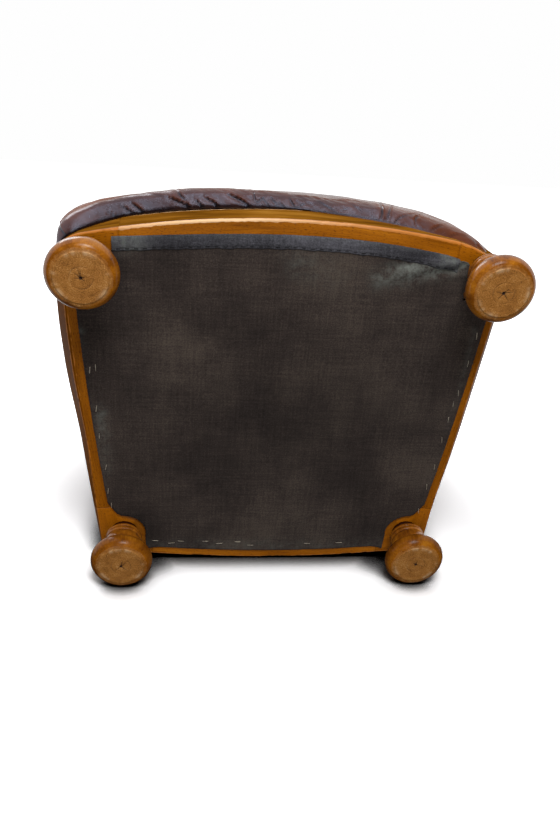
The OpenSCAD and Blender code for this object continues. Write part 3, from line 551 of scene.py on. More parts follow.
def railPath(part, e, count):
    # plan of one part of the frame's outline, set in by each value of e: rows go along it, anticlockwise from above
    e = np.asarray(e, float)
    t = np.linspace(0, 1, count)
    if part == "front":
        x = (seatFrame["frontJointX"] * (2 * t - 1))[:, None] + 0 * e
        return np.stack([x, frontCentre[1] - np.sqrt((seatFrame["frontBow"] - e) ** 2 - x ** 2)], -1)
    if part == "rear":
        x = (seatFrame["rearJointX"] * (1 - 2 * t))[:, None] + 0 * e
        return np.stack([x, rearCentre[1] + np.sqrt((seatFrame["rearBow"] - e) ** 2 - x ** 2)], -1)
    s0, s1 = seatFrame["frontJointS"], sideLength - seatFrame["rearJointS"]
    if part == "side":
        s = (s0 + (s1 - s0) * t)[:, None] + 0 * e
        return sideXY(sideN(e[None], s), s)
    front = part == "frontCorner"
    c, r = cornerAt(e, front)
    near = frontCentre if front else rearCentre
    a, b = angleOf(c - near), angleOf(c - sideCentre)
    straight, bend = count // 3, count - 2 * (count // 3)
    if front:
        a0 = np.arcsin(seatFrame["frontJointX"] / (seatFrame["frontBow"] - e)) - np.pi / 2
        s = ((c + r[:, None] * np.stack([np.cos(b), np.sin(b)], -1)) - sidePoint) @ sideBack
        run = s + (s0 - s) * np.linspace(0, 1, straight + 1)[1:, None]
        path = np.concatenate([arc(near, seatFrame["frontBow"] - e, a0, a, np.linspace(0, 1, straight, endpoint=False)),
                               arc(c, r, a, b, np.linspace(0, 1, bend)), sideXY(sideN(e[None], run), run)])
        inner = [(seatFrame["frontJointX"], path[0, -1, 1]), (seatFrame["frontJointX"], sideXY(-seatFrame["rail"] * 4 / 3, s0)[1]),
                 sideXY(-seatFrame["rail"] * 4 / 3, s0), sideXY(-seatFrame["rail"], s0)]
    else:
        b1 = np.arccos(seatFrame["rearJointX"] / (seatFrame["rearBow"] - e))
        s = ((c + r[:, None] * np.stack([np.cos(b), np.sin(b)], -1)) - sidePoint) @ sideBack
        run = s1 + (s - s1) * np.linspace(0, 1, straight, endpoint=False)[:, None]
        path = np.concatenate([sideXY(sideN(e[None], run), run), arc(c, r, b, a, np.linspace(0, 1, bend)),
                               arc(near, seatFrame["rearBow"] - e, a, b1, np.linspace(0, 1, straight + 1)[1:])])
        inner = [sideXY(-seatFrame["rail"], s1), sideXY(-60, s1), (seatFrame["rearJointX"], sideXY(-60, s1)[1]),
                 (seatFrame["rearJointX"], path[-1, -1, 1])]
    deep = e >= seatFrame["rail"] - 0.1
    path[:, deep] = bentPath(inner, len(path))[:, None]
    return path


def bandProfile():
    # one turn round a rail's section, as distances in from the outer face and heights: underside, lower edge, band, rabbet, top
    r, q = seatFrame["arris"], seatFrame["bandArris"]
    bend = np.radians(np.linspace(0, 90, 7))
    under = np.array([31, 27, 24, 21, 18, 15, 12, 9.5, 7.5, 6, 5, 4, 3.2])
    face = np.linspace(seatFrame["low"] + 4, seatFrame["band"] - 3, 22)
    e = np.concatenate([[seatFrame["rail"]], under, r - r * np.sin(bend), 0 * face, q - q * np.cos(bend[::2]),
                        [3.2, 4.8, 5, 5, 5, 5.6, 8, 20, 35.4, seatFrame["rail"], seatFrame["rail"]]])
    z = np.concatenate([[seatFrame["low"]], seatFrame["low"] + 0 * under, seatFrame["low"] + r - r * np.cos(bend), face,
                        seatFrame["band"] - q + q * np.sin(bend[::2]),
                        [seatFrame["band"], seatFrame["band"], seatFrame["band"] + 0.3, 142, 172, 174, 174, 174, 174, 173, 130]])
    return e, z


def cant(points, heights):
    # the sloping cut along the sides' lower edge: points outside its plane move in to it, with a small round where they meet
    q = points - sidePoint
    n, s = q @ sideOut, q @ sideBack
    front, rear = seatFrame["cantFront"], seatFrame["cantRear"]
    limit = -(front - (front - rear) * s / sideLength) + (heights - seatFrame["low"]) * front / seatFrame["cantHeight"]
    d = n - limit
    pulled = 0.5 * (d - np.sqrt(d ** 2 + 1.2 ** 2))
    inside = d < -8
    return points + np.where(inside, 0, pulled - d)[..., None] * sideOut, np.where(inside, 99, np.abs(d)), d > 0.4


lopsided = dict(cornerX=306, cornerY=-346, cornerReach=40, cornerIn=9.5, aboveIn=7.0, rearX=295, rearWide=30, rearY=130, rearLong=90,
                rearIn=4.0,
                bellyOut=5.6, bellyFrom=-330, bellyTo=10, bellyEase=150, bulgeOut=9.0, bulgeY=158, bulgeLong=42, bulgeZ=165, bulgeHigh=32)


def drawIn(points, above=0.0):
    # the photographed frame is rounder at its right front corner, more so above its band, and a little narrower near its right rear foot:
    # points near there move in by a bell curve of their distance
    a = lopsided
    near = ridge(np.hypot(points[..., 0] - a["cornerX"], points[..., 1] - a["cornerY"]), a["cornerReach"])
    rear = ridge(points[..., 0] - a["rearX"], a["rearWide"]) * ridge(points[..., 1] - a["rearY"], a["rearLong"])
    near = near * (a["cornerIn"] + above)
    shift = np.stack([-near - a["rearIn"] * rear, near], -1)
    return points + shift * (points[..., 0] > 0)[..., None]


def leftBelly(points):
    # the photographed left side stands up to 5.6 mm further out along its front half: one soft step up times one down along y
    y, a = points[..., 1], lopsided
    return a["bellyOut"] * ease((y - a["bellyFrom"]) / a["bellyEase"]) * ease((a["bellyTo"] - y) / a["bellyEase"]) * (points[..., 0] < 0)


def railPiece(name, part, node, count, left=False, seed=1):
    # one rail: the section swept along its plan. Its edges are nicked inwards by waves times a bell curve of the distance to the edge
    e, z = bandProfile()
    plan = railPath(part, e, count)
    edge = ridge(np.hypot(e - 0.6, z - seatFrame["low"] - 0.6), 3.4)
    upper = ridge(np.hypot(e - 0.4, z - seatFrame["band"] + 0.6), 2.6)
    run = lengthsAlong(plan[:, len(e) // 2])
    nick = np.clip(waves(run, seed, (7, 13, 29, 61, 140)), 0, 1)[:, None] * seatFrame["wear"]
    outward = plan - np.roll(plan, 1, 0)
    outward[0] = outward[1]
    outward = np.stack([outward[..., 1], -outward[..., 0]], -1) / np.maximum(np.linalg.norm(outward, axis=-1, keepdims=True), 1e-6)
    plan = plan - outward * (nick * (edge + 0.5 * upper))[..., None]
    heights = z[None] + nick * edge * 0.8
    far = np.full(plan.shape[:2], 99.0)
    cut = np.zeros(plan.shape[:2], bool)
    if part != "front" and part != "rear":
        plan, far, cut = cant(plan, np.broadcast_to(heights, plan.shape[:2]))
    if not left:
        plan = drawIn(plan, lopsided["aboveIn"] * ease((heights - 130) / 25))
    grid = np.concatenate([plan, heights[..., None] * np.ones(plan.shape[:2] + (1,))], -1)
    if left:
        grid[..., 0] *= -1
        grid[..., 0] -= leftBelly(grid) * np.clip(1.15 - e / 24, 0, 1)
    worn = np.maximum(np.broadcast_to(edge, far.shape) * (far > 4), ridge(far, 2.0) * ridge(heights - seatFrame["low"], 6.0) * 0.85)
    worn = np.maximum(worn, upper * 0.9)
    mid = ridge(grid[..., 0] + 110, 150.0) if part == "front" else np.zeros(far.shape)
    gap = np.minimum(run, run[-1] - run)[:, None]
    # shade holds painted shade: at the joints' ends, on the side rails, on the canted cuts and in the rabbet
    values = dict(worn=worn * (0.62 if part != "front" else 1.0) * (heights < seatFrame["band"] + 0.5), bare=mid,
                  shade=np.clip(ridge(gap, 0.8) * 0.15 + 0.25 * (part == "side") + 0.3 * cut
                                + 0.9 * (np.abs(e - 5) < 1) * (z > seatFrame["band"] - 1), 0, 1) * np.ones(far.shape),
                  face=(part in ("front", "frontCorner")) * ease((0.6
                                                                  - e) / 0.6) * ease((z - seatFrame["low"] - 2) / 3) * np.ones(far.shape))
    piece = gridMesh(name, grid, values=values, slot="show_wood", finish=beech)
    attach(piece, "root")
    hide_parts(*node)


railPiece("bowed_front_rail", "front", ["front_rail"], 320, seed=3)
railPiece("rear_show_rail", "rear", ["rear_rail"], 140, seed=5)
for left, hand in ((True, "left"), (False, "right")):
    railPiece(hand + "_show_rail", "side", [hand + "_side_rail"], 240, left, seed=7 + left)
    railPiece(hand + "_front_corner", "frontCorner", [], 90, left, seed=11 + left)
    railPiece(hand + "_rear_corner", "rearCorner", [], 90, left, seed=13 + left)
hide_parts("corner_blocks")
print("seat frame made")

# feet
bunFoot = dict(ground=35.6, bun=48.3, mid=15.8, bunTop=32.0, neck=26.6, rings=((36.0, 58.0, 4.4), (58.6, 67.0, 3.2), (67.4, 73.0, 2.4)),
               stem=20.5,
               height=86.0, places=((-277.5, -312), (277.5, -312), (-239, 172), (239, 172)),
               names=("front_left_foot", "front_right_foot", "rear_left_foot", "rear_right_foot"), cracks=(7, 5, 6, 4))


def footProfile():
    # radius and height along a foot's outside: ground face, rounded rim, bun, three turned rings and the stem
    b = bunFoot
    q = np.radians(np.linspace(0, 90, 18))
    flat = np.concatenate([[0.02, 0.8, 1.5, 1.9], np.linspace(2.6, b["ground"] - 1.6, 34)])
    dish = np.where(flat < 1.7, 1.8, 0.0) + 0.35 * ridge(flat - 15.0, 0.7) + 0.3 * ridge(flat - 27.0, 0.6) + 0.5 * ridge(flat, 5.0)
    parts = [(flat, dish), (b["ground"] - 1.2 + 1.2 * np.sin(q[3::3]), 1.1 - 1.1 * np.cos(q[3::3])),
             (b["ground"] + (b["bun"] - b["ground"]) * np.sin(q[2:]), 0.6 + (b["mid"] - 0.6) * (1 - np.cos(q[2:]))),
             (b["neck"] + (b["bun"] - b["neck"]) * np.cos(q[1:]) ** 0.86, b["mid"] + (b["bunTop"] - b["mid"]) * np.sin(q[1:]))]
    for low, high, out in b["rings"]:
        turn = np.radians(np.linspace(4, 176, 16))
        parts.append((b["neck"] + out * np.sin(turn) ** 0.8, low + (high - low) * (1 - np.cos(turn)) / 2))
    turn = np.radians(np.linspace(0, 90, 8))
    top = b["rings"][-1][1]
    parts.append((b["stem"] + (b["neck"] - b["stem"]) * (1 - np.sin(turn)), top + 0.5 + 5 * (1 - np.cos(turn))))
    parts.append((np.array([b["stem"], b["stem"] + 1.2, b["stem"] + 1.2, 0.02]),
                  np.array([b["height"] - 4, b["height"] - 3, b["height"] - 0.1, b["height"] - 0.1])))
    return np.concatenate([p[0] for p in parts]), np.concatenate([p[1] for p in parts])


def footPiece(index):
    # a turned foot: radius times cosine and sine of the turn, 144 steps round, with cracks from the middle and painted
    # shade on the bun's rear and right
    r, z = footProfile()
    a = np.linspace(0, 2 * np.pi, 145)[:-1]
    wobble = 1 + 0.004 * np.sin(2 * a[None] + index) * (r[:, None] > 3)
    grid = np.stack([r[:, None] * np.cos(a) * wobble, r[:, None] * np.sin(a) * wobble, z[:, None] + 0 * a], -1)
    rng = np.random.default_rng(40 + index)
    crack = np.zeros(grid.shape[:2])
    for _ in range(bunFoot["cracks"][index]):
        turn, reach = rng.uniform(0, 2 * np.pi), rng.uniform(5, 14)
        line = [(2 * math.cos(turn), 2 * math.sin(turn)), (reach * math.cos(turn + 0.1), reach * math.sin(turn + 0.1))]
        far, share = toLine(grid[..., 0], grid[..., 1], line)
        crack = np.maximum(crack, ridge(far, 0.55) * (1 - 0.6 * share) * (r[:, None] < bunFoot["ground"] - 3))
    crack = np.maximum(crack, ((r < 2.0) * 1.0)[:, None] * (z < 40)[:, None])
    crack = np.maximum(crack, 0.45 * (ridge(r - 15.0, 0.6) * (z < 2))[:, None] * (0.5 + 0.5 * np.sin(a * 2 + index)))
    grid[..., 2] += crack * 0.5 * (z < 3)[:, None]
    b = bunFoot
    under = (ease((b["ground"] + 0.2 - r) / 1.4) * (z < 3))[:, None] + 0.5 * (ease((4.6 - z) / 4) * (r > b["ground"] - 2))[:, None] + 0 * crack
    # dark stain in the tight grooves of the neck and rings, and the bun darker towards its upper part
    tight = (z > b["bunTop"] - 2.0) & (r < b["neck"] + 3.0)
    grooveAndShade = np.where(tight, ease((b["neck"] + 1.9 - r) / 1.9),
                      0)[:, None] + 0.3 * ease((z - b["mid"] - 4) / 12)[:, None] * (z < b["bunTop"])[:, None] + 0 * crack
    # painted shade: each bun is darker towards the rear and the right, and the rear feet are darker all round
    grooveAndShade = grooveAndShade + ((0.30 * ease(0.5 + 0.5 * np.cos(a - 0.9)) + 0.22 * (index > 1)) * ease((r[:, None] - 40) / 8))
    rim = (0.4 * ridge(r - b["ground"] + 1.5, 3.0) * (z < 4))[:, None] * np.clip(waves(a * 48, 50 + index, (11, 19, 43, 100)), 0, 1) + 0 * crack
    x, y = bunFoot["places"][index]
    piece = gridMesh(bunFoot["names"][index].replace("foot", "bun_foot"), grid + [x, y, 0],
                     values=dict(crack=crack, under=np.clip(under, 0, 1), grooveAndShade=np.clip(grooveAndShade, 0, 1), rim=rim),
                     slot="show_wood", finish=feetWood)
    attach(piece, "root")
    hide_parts(bunFoot["names"][index])


for index in range(4):
    footPiece(index)
print("feet made")

# dust cover
dustCover = dict(height=84.7, sideIn=26.0, rearIn=16.0, notchX=245.5, notchY=-264.0, collarGap=35.0, hemWidth=20.5, hemDrop=0.9,
                 sag=2.4, ripple=0.8, rows=215, columns=205, footX=239.0, footY=172.0,
                 front=((-245, -337), (-214, -339.1), (-152, -343.3), (-60, -348.4), (8, -349.8), (35, -349.3), (92, -345.6),
                        (149, -340.5), (193, -335.4), (245, -323.5)))


coverFront = np.poly1d(np.polyfit(*np.array(dustCover["front"], float).T,
                                  4))  # a curve of the fourth degree through the front edge's places


def coverEdgeLine():
    # the cover's right edge from front to rear: notch round the front foot, along the side rail, round the rear foot's collar
    frontY = coverFront(dustCover["notchX"])
    s = np.linspace(seatFrame["frontJointS"] + 2, 428, 30)
    side = sideXY(sideN(dustCover["sideIn"], s), s)
    turn = np.radians(np.linspace(84, 190, 12))
    bevel = np.stack([dustCover["footX"] + dustCover["collarGap"] * np.cos(-turn),
                      dustCover["footY"] + dustCover["collarGap"] * np.sin(-turn)], -1)
    return np.concatenate([[(dustCover["notchX"], frontY), (dustCover["notchX"], dustCover["notchY"] - 6),
                            (dustCover["notchX"] + 5, dustCover["notchY"])],
                           [(side[0, 0] - 4, dustCover["notchY"] + 1)], side, [(250, 133)], bevel,
                           [(dustCover["footX"] - dustCover["collarGap"] - 0.5, 213)]])


def coverPlan(u, v):
    # plan of the cover: v from -1 to 1 across it and u from 0 to 1 back along it. The rows follow its bowed ends and, near the sides, its
    # cut edge
    edge = coverEdgeLine()
    step = np.linalg.norm(np.diff(edge, axis=0), axis=1)
    t = np.concatenate([[0], np.cumsum(step)]) / step.sum()
    ex, ey = np.interp(u, t, edge[:, 0]), np.interp(u, t, edge[:, 1])
    x = ex * v
    y0 = coverFront(x)
    y1 = rearCentre[1] + np.sqrt((seatFrame["rearBow"] - dustCover["rearIn"]) ** 2 - x ** 2)
    inner = y0 + (y1 - y0) * (u * 0.75 + 0.25 * (ey + 326.7) / 540.0)
    k = np.abs(v) ** 10
    # by the right front foot the cloth is drawn in along the rail and then reaches under the foot's rings
    x = x + np.clip(v, 0, 1) ** 10 * (9.0 * ease((ey + 331) / 12) * ease((-262 - ey) / 6) - 8.0 * ease((-318 - ey) / 8))
    return x, inner + (ey - inner) * k * (u > 0) * (u < 1)


def coverHeight(x, y):
    # drop of the slack cloth below its stapled edge: a sag in the open middle, soft ripples, and diagonal pulls from a front corner
    inside = ease((dustCover["notchX"] + 42 - np.abs(x)) / 90) * ease((y + 338) / 110) * ease((208 - y) / 90)
    low = dustCover["sag"] * inside * (1 + 0.35 * lumps(x, y, 60, (260, 170)))
    low = low + dustCover["ripple"] * lumps(x, y, 61, (120, 75, 48)) * (0.3 + 0.7 * inside)
    low = low + 0.12 * lumps(x, y, 66, (21, 13, 9)) * (0.4 + 0.6 * inside)
    pulls = (((460, 261), (420, 268), (372, 282), 4.2, 9), ((461, 275), (430, 280), (398, 290), 2.6, 8),
             ((458, 266), (410, 274), (330, 290), 1.2, 6), ((116, 252), (135, 268), (150, 280), 1.0, 8),
             ((468, 300), (452, 303), (436, 307), 1.0, 7), ((84, 356), (100, 358), (112, 362), 0.9, 6),
             ((446, 430), (430, 428), (416, 426), 0.8, 7), ((92, 430), (108, 431), (122, 433), 0.9, 7),
             ((205, 545), (207, 530), (209, 515), 0.6, 6), ((300, 547), (297, 530), (295, 518), 0.7, 6),
             ((250, 546), (251, 533), (253, 520), 0.5, 6))
    pulls = [([onPlane(*place, dustCover["height"])[:2] for place in pull[:3]], pull[3], pull[4]) for pull in pulls]
    for line, high, wide in pulls:
        far, share = toLine(x, y, line)
        low = low + high * ridge(far, wide * (0.7 + 0.6 * share)) * (1 - share) ** 0.7
        low = low - 0.6 * high * ridge(far - wide * 1.6, wide * 0.9) * (1 - share)
    return low


u, v = np.meshgrid(np.linspace(0, 1, dustCover["rows"]), np.linspace(-1, 1, dustCover["columns"]), indexing="ij")
x, y = coverPlan(u, v)
fray = 0.35 * waves(u * 900, 71, (11, 7, 4)) * (np.abs(v) > 0.996)
low = coverHeight(x, y)
# dust in the places where the photograph has it: along the left edge's rear half, in both front corners, and on the longest pull
dust = 0.18 * ridge(y - 205, 16)
for line, amount, wide in ((((100, 410), (104, 440), (108, 470)), 0.5, 9), (((116, 243), (130, 250)), 0.55, 12),
                           (((459, 261), (425, 267), (380, 279)), 2.2, 15), (((300, 262), (345, 279)), 0.25, 22),
                           (((80, 330), (84, 352)), 0.3, 7), (((474, 330), (462, 380), (447, 430)), 0.22, 5)):
    far, share = toLine(x, y, [onPlane(*place, dustCover["height"])[:2] for place in line])
    dust = dust + amount * ridge(far, wide) * (1 - 0.75 * share)
# darker in a broad patch round the middle, and painted shade near both sides towards the rear
darkAndShade = 0.30 * ridge(np.hypot((x - 30) / 1.5, y + 60), 120) + 0.5 * ease((np.abs(x) - 262) / 30) * ease((y - 60) / 60)
cover = gridMesh("dust_cover_cloth", np.stack([x + fray, y, dustCover["height"] - low], -1), ring=False, closeEnds=False,
                 values=dict(dust=np.clip(dust, 0, 1), darkAndShade=np.clip(darkAndShade, 0, 0.6)), slot="dust_cover", finish=cambric)

# the hem: the cover's front edge folded under, with a puckered seam, painted shade in dashes 12 mm apart and painted
# shade along its inner edge
hv, hw = np.meshgrid(np.linspace(-1, 1, 620), np.linspace(0, 1, 22), indexing="ij")
hx = dustCover["notchX"] * hv - 8.0 * np.clip(hv, 0, 1) ** 10
hemFront = coverFront(hx) - 1.0
pucker = waves(hx[:, :1], 75, (14, 23, 37, 61), 0.2)
hemBack = hemFront + dustCover["hemWidth"] + 0.7 * pucker
hy = hemFront + (hemBack - hemFront) * hw
swell = dustCover["hemDrop"] * (1.1 + 1.3 * np.sin(np.pi * np.clip(hw * 1.02, 0,
                                                                   1)) ** 0.6) + 0.5 * lumps(hx, hy, 77, (34, 19, 12)) * np.sin(np.pi * hw)
gapShade = ridge((hw - 0.86) * dustCover["hemWidth"], 0.9) * (np.sin(2 * np.pi * hx / 12) > 0.1)
swell = (swell - 0.7 * ridge((hw - 0.86) * dustCover["hemWidth"], 1.6)) * ease(np.minimum(hw, 1 - hw) / 0.05)
hemDust = 0.65 * ridge(np.hypot(hx + 225, (hy - hemFront) - 8), 24) + 0.55 * ridge(np.abs(hx - 226), 22) + 0.15 * ridge(hw - 0.1, 0.15)
hem = gridMesh("dust_cover_hem", np.stack([hx, hy, dustCover["height"] - coverHeight(hx, hy) - 0.25 - swell], -1), ring=False,
               closeEnds=False,
               values=dict(dust=np.clip(hemDust, 0, 1), darkAndShade=np.clip(0.9 * gapShade + 0.5 * ridge(hw - 1, 0.07), 0, 1)), slot="dust_cover",
               finish=hemCloth)
for cloth, thick in ((cover, 0.0006), (hem, 0.0005)):
    wall = cloth.modifiers.new("thickness", "SOLIDIFY")
    wall.thickness, wall.offset, wall.use_rim = thick, 0, True
    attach(cloth, "root")
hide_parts("dust_cover")
print("dust cover made")

# staples
staples = dict(wire=0.75, crown=10.5, drop=0.9,
               left=((89.7, 370.4, 90), (95.5, 368, 84), (96.3, 408.7, 92), (99.3, 436, 88), (105.9, 467.5, 96), (108.1, 491.3, 90),
                     (111.4, 505.4, 84)),
               right=((476.8, 336.4, 90), (468, 364, 97), (458.4, 393.4, 88), (453.3, 404.4, 92), (448.3, 420.2, 90), (441.9, 440.4, 86),
                      (434.5, 467.3, 93), (426.7, 487, 90), (418.5, 510.9, 88)),
               rear=((155.2, 540.6, 3), (171.4, 543.1, -4), (180.9, 541.2, 6), (205.4, 541.2, 0), (219.2, 543.4, -5), (237.6, 541.8, 2),
                     (250.3, 545.2, 0), (306.9, 543.5, 4), (338.6, 542.6, -3)))


def stapleWirePath(middle, turn, length):
    # a staple's wire: a leg, a bend, the crown, a bend and a leg, 22 rings of 8 points
    q = np.radians(np.linspace(0, 90, 5))
    half, r = length / 2, 0.9
    up = [(-half, 2.2), (-half, 1.2)]
    bend = [(-half + r - r * math.cos(a), r - r * math.sin(a)) for a in q]
    line = np.array(up + bend + [(-half * 0.4, -0.05), (0, -0.1), (half * 0.4, -0.05)] + [(-p[0], p[1]) for p in bend[::-1]]
                    + [(half, 1.2), (half, 2.2)])
    across = np.array([math.cos(turn), math.sin(turn), 0])
    path = middle + line[:, :1] * across + line[:, 1:] * np.array([0, 0, 1.0])
    step = np.gradient(line, axis=0)
    step /= np.linalg.norm(step, axis=1, keepdims=True)
    normal = -step[:, 1:] * across + step[:, :1] * np.array([0, 0, 1.0])
    side = np.cross(across, (0, 0, 1.0))
    a = np.linspace(0, 2 * np.pi, 9)[:-1]
    w = staples["wire"] / 2
    return path[:, None] + w * 0.75 * np.cos(a)[None, :, None] * normal[:, None] + w * 1.25 * np.sin(a)[None, :, None] * side


rings = []
for key, turn in (("left", 90 + math.degrees(sideTurn)), ("right", 90 - math.degrees(sideTurn)), ("rear", 0)):
    for px, py, lean in staples[key]:
        middle = onPlane(px, py, dustCover["height"] - 1.0)
        middle[2] = dustCover["height"] - staples["drop"]
        angle = turn + (lean - 90 if key != "rear" else lean)
        rings.append(stapleWirePath(middle, math.radians(angle), staples["crown"] * (1 + 0.06 * math.sin(px * 7))))
rings = np.array(rings)
n, m = rings.shape[1:3]
base = (np.arange(len(rings)) * n * m)[:, None, None]
i, j = np.arange(n - 1)[:, None], np.arange(m)[None]
quads = np.stack([i * m + j, i * m + (j + 1) % m, (i + 1) * m + (j + 1) % m, (i + 1) * m + j], -1)[None] + base[..., None]
caps = [b + k for b in np.arange(len(rings)) * n * m for k in (np.arange(m)[::-1], (n - 1) * m + np.arange(m))]
wires = putMesh("cover_staple_wires", rings, quads, caps=caps, slot="staple_wire", finish=stapleWire)
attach(wires, "root")
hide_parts("cover_staples")
print("staples made")

# leather
leatherRoll = dict(low=131.4, height=270.0, lean=60.0, sideLean=10.0, taper=0.45, out=19.0, sideOut=3.6, rim=4.7, earFront=112.0,
                   top=400.0,
                   drop=((-330, 0.92), (-300, 0.92), (-285, 0.74), (-262, 0.44), (-230, 0.13), (-190, 0.03), (-120, 0), (-20, 0.03),
                         (39, 0.14), (67, 0.26), (96, 0.36),
                         (141, 0.52), (170, 0.6), (190, 0.74), (231, 0.84), (262, 0.96), (330, 1.0)),
                   contour=((-320, -320), (-321, -328), (-317, -340.5), (-309, -350), (-296.5, -357), (-283, -362), (-264, -368),
                            (-245, -370.5), (-205, -376), (-170, -382), (-128, -387),
                            (0, -386), (56, -381.8), (84.6, -383.7), (121.5, -380.5), (158.9, -375.8), (177.3, -372.2), (195.9, -368.3),
                            (214.7, -363.4), (233.9, -357.5), (243.7, -354.2), (253.5, -350.4), (263.7, -345.3), (274.2, -339.2),
                            (281.6, -333.3), (287.7, -326.6), (291.9, -321.4)),
                   folds=((((108, 211.5), (115, 214.5), (123, 217.2)), 1.2, 1.6), (((122, 205.5), (129, 209.5), (136, 212.6)), 1.6, 2.0),
                          (((133, 203.5), (141, 209), (148, 213)), 2.6, 2.4),
                          (((171, 197.5), (181, 201.5), (188, 204.3), (193, 208.6)), 3.0, 2.6),
                          (((177, 189.5), (181, 195), (187, 200.5)), 1.5, 2.4), (((140, 192.8), (156, 193.8), (170, 196.5)), 0.8, 2.0),
                          (((196, 200), (201, 203.5), (206, 207)), 2.0, 1.8), (((206, 197.5), (214, 201.5), (222, 207)), 2.8, 2.4),
                          (((229, 194), (238, 197.5), (247, 203), (254, 207)), 3.0, 2.6),
                          (((254, 191), (256, 200)), 1.3, 1.6), (((256, 202), (264, 197)), 1.4, 1.8),
                          (((263, 198), (271, 207)), 1.1, 1.6), (((272, 198), (279, 206)), 1.4, 1.8),
                          (((279, 202), (287, 208)), 1.5, 1.8),
                          (((290, 198), (296, 208)), 1.3, 1.8), (((294, 208), (305, 203)), 1.2, 1.6),
                          (((318, 200), (326, 205), (336, 211)), 1.4, 1.9), (((333, 197), (345, 201)), 0.8, 1.6),
                          (((341, 210), (350, 207)), 1.1, 1.5),
                          (((352, 203), (360, 209)), 0.8, 1.8), (((380, 202), (383, 208), (383, 215), (380.5, 220.5)), 2.6, 1.6),
                          (((392, 206), (390, 212), (388, 219)), 2.1, 1.6),
                          (((394, 221.5), (400, 217), (406, 214.6)), 1.8, 1.8), (((406, 214.6), (418, 213.5), (425, 213)), 0.8, 1.6),
                          (((414.5, 222), (415, 218), (418.5, 215.3)), 2.3, 1.7),
                          (((431, 229.5), (437, 226.5), (441, 225)), 2.1, 1.8), (((418, 226), (424, 229)), 1.2, 1.6),
                          (((448.5, 236), (452, 234.5), (458, 233.8)), 1.9, 1.8), (((458, 233.8), (467, 236)), 0.8, 1.6)),
                   shares=((0.06, 0), (0.16, 0.005), (0.84, 0.046), (0.96, 0.064), (1, 0.088), (0.88, 0.125), (0.62, 0.175),
                           (0.34, 0.235), (0.05, 0.31)))


def leatherPiece(name, grid, foldShade, rubAndLight, node=None, loop=False):
    # a grid of leather with its painted fold shade and its rubbed and lit places, standing in for the CAD solid that it
    # hides
    piece = gridMesh(name, grid, loop=loop, values=dict(foldShade=foldShade, rubAndLight=rubAndLight), slot="leather", finish=hide)
    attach(piece, "root")
    if node:
        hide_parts(node)


def halfAt(n, y):
    # half the chair's width at depth y, n out from the side's line: the front half's width less depth times the side's slope
    return (seatFrame["frontHalf"] + n / math.cos(sideTurn)) - (y - seatFrame["footY"]) * math.tan(sideTurn)


def seatPath(e, g, back, count):
    # the frame's outline set in by e in front and g at the sides, from the left ear round the front to the right ear. e and g are arrays
    e, g = np.asarray(e, float), np.asarray(g, float)
    r = np.maximum(seatFrame["frontCorner"] - g, seatFrame["leastCorner"])
    c = meet(frontCentre, seatFrame["frontBow"] - g - r, sideCentre, seatFrame["sideBow"] - g - r)
    a, b = angleOf(c - frontCentre), angleOf(c - sideCentre)
    n1, n2, n3 = count
    shift = e - g
    endY = back - shift
    s = np.arcsin((endY - sideCentre[1]) / (seatFrame["sideBow"] - g))
    half = np.concatenate([arc(frontCentre, seatFrame["frontBow"] - g, -np.pi / 2, a, np.linspace(0, 1, n1)),
                           arc(c, r, a, b, np.linspace(0, 1, n2))[1:],
                           arc(sideCentre, seatFrame["sideBow"] - g, b, s, np.linspace(0, 1, n3))[1:]])
    k = 1 - np.where(shift < 0, leatherRoll["taper"], 0) * (half[..., 0] / seatFrame["frontHalf"]) ** 2
    half[..., 1] += shift * k
    half[-1, :, 1] = back
    other = half[::-1][:-1].copy()
    other[..., 0] *= -1
    return np.concatenate([other, half])


def earY(g):
    # depth of the front border's ears, set in by g
    return sideXY(-np.asarray(g, float), leatherRoll["earFront"] - 0.6)[..., 1]


def rollRows():
    # the border's section: shares of height t with the set-in at the front and at the sides, in 70 fine rows, then back down inside
    t = np.concatenate([np.linspace(0, 0.31, 46), np.linspace(0.33, 0.97, 34), [0.985, 0.995, 1.0]])
    keys = np.array(leatherRoll["shares"] + ((0.0, 0.33),))
    q = np.interp(t, keys[:, 1], keys[:, 0])
    soft = np.convolve(np.pad(q, 1, mode="edge"), np.ones(3) / 3, "valid")
    q = np.where(t < 0.05, q, soft)
    leanShare = np.clip((t - 0.31) / 0.69, 0, 1)
    bevel = np.interp(t, [0.97, 0.985, 0.995, 1.0], [0, 0.8, 2.2, 4.5])
    e = -leatherRoll["out"] * q + leatherRoll["lean"] * leanShare + bevel
    g = np.where(t <= 0.33, leatherRoll["rim"] - leatherRoll["sideOut"] * np.minimum(1, 2 * q), 0)
    g = np.where(t > 0.33, leatherRoll["sideLean"] * leanShare + bevel, g)
    z = leatherRoll["low"] + leatherRoll["height"] * t
    e = np.concatenate([[leatherRoll["rim"], -0.7, -0.7], e, [leatherRoll["lean"] + 26, 16.3, leatherRoll["rim"]]])
    g = np.concatenate([[leatherRoll["rim"], 1.5, 1.5], g, [leatherRoll["sideLean"] + 26, 16.3, leatherRoll["rim"]]])
    z = np.concatenate([[leatherRoll["low"], leatherRoll["low"], leatherRoll["low"] + 0.6], z, [leatherRoll["top"], 174.3, 174.3]])
    return e, g, z, np.concatenate([[0, 0, 0], t, [1, 1, 1]]), np.concatenate([[0.15, 0.15, 0.15], q, [0, 0, 0]])


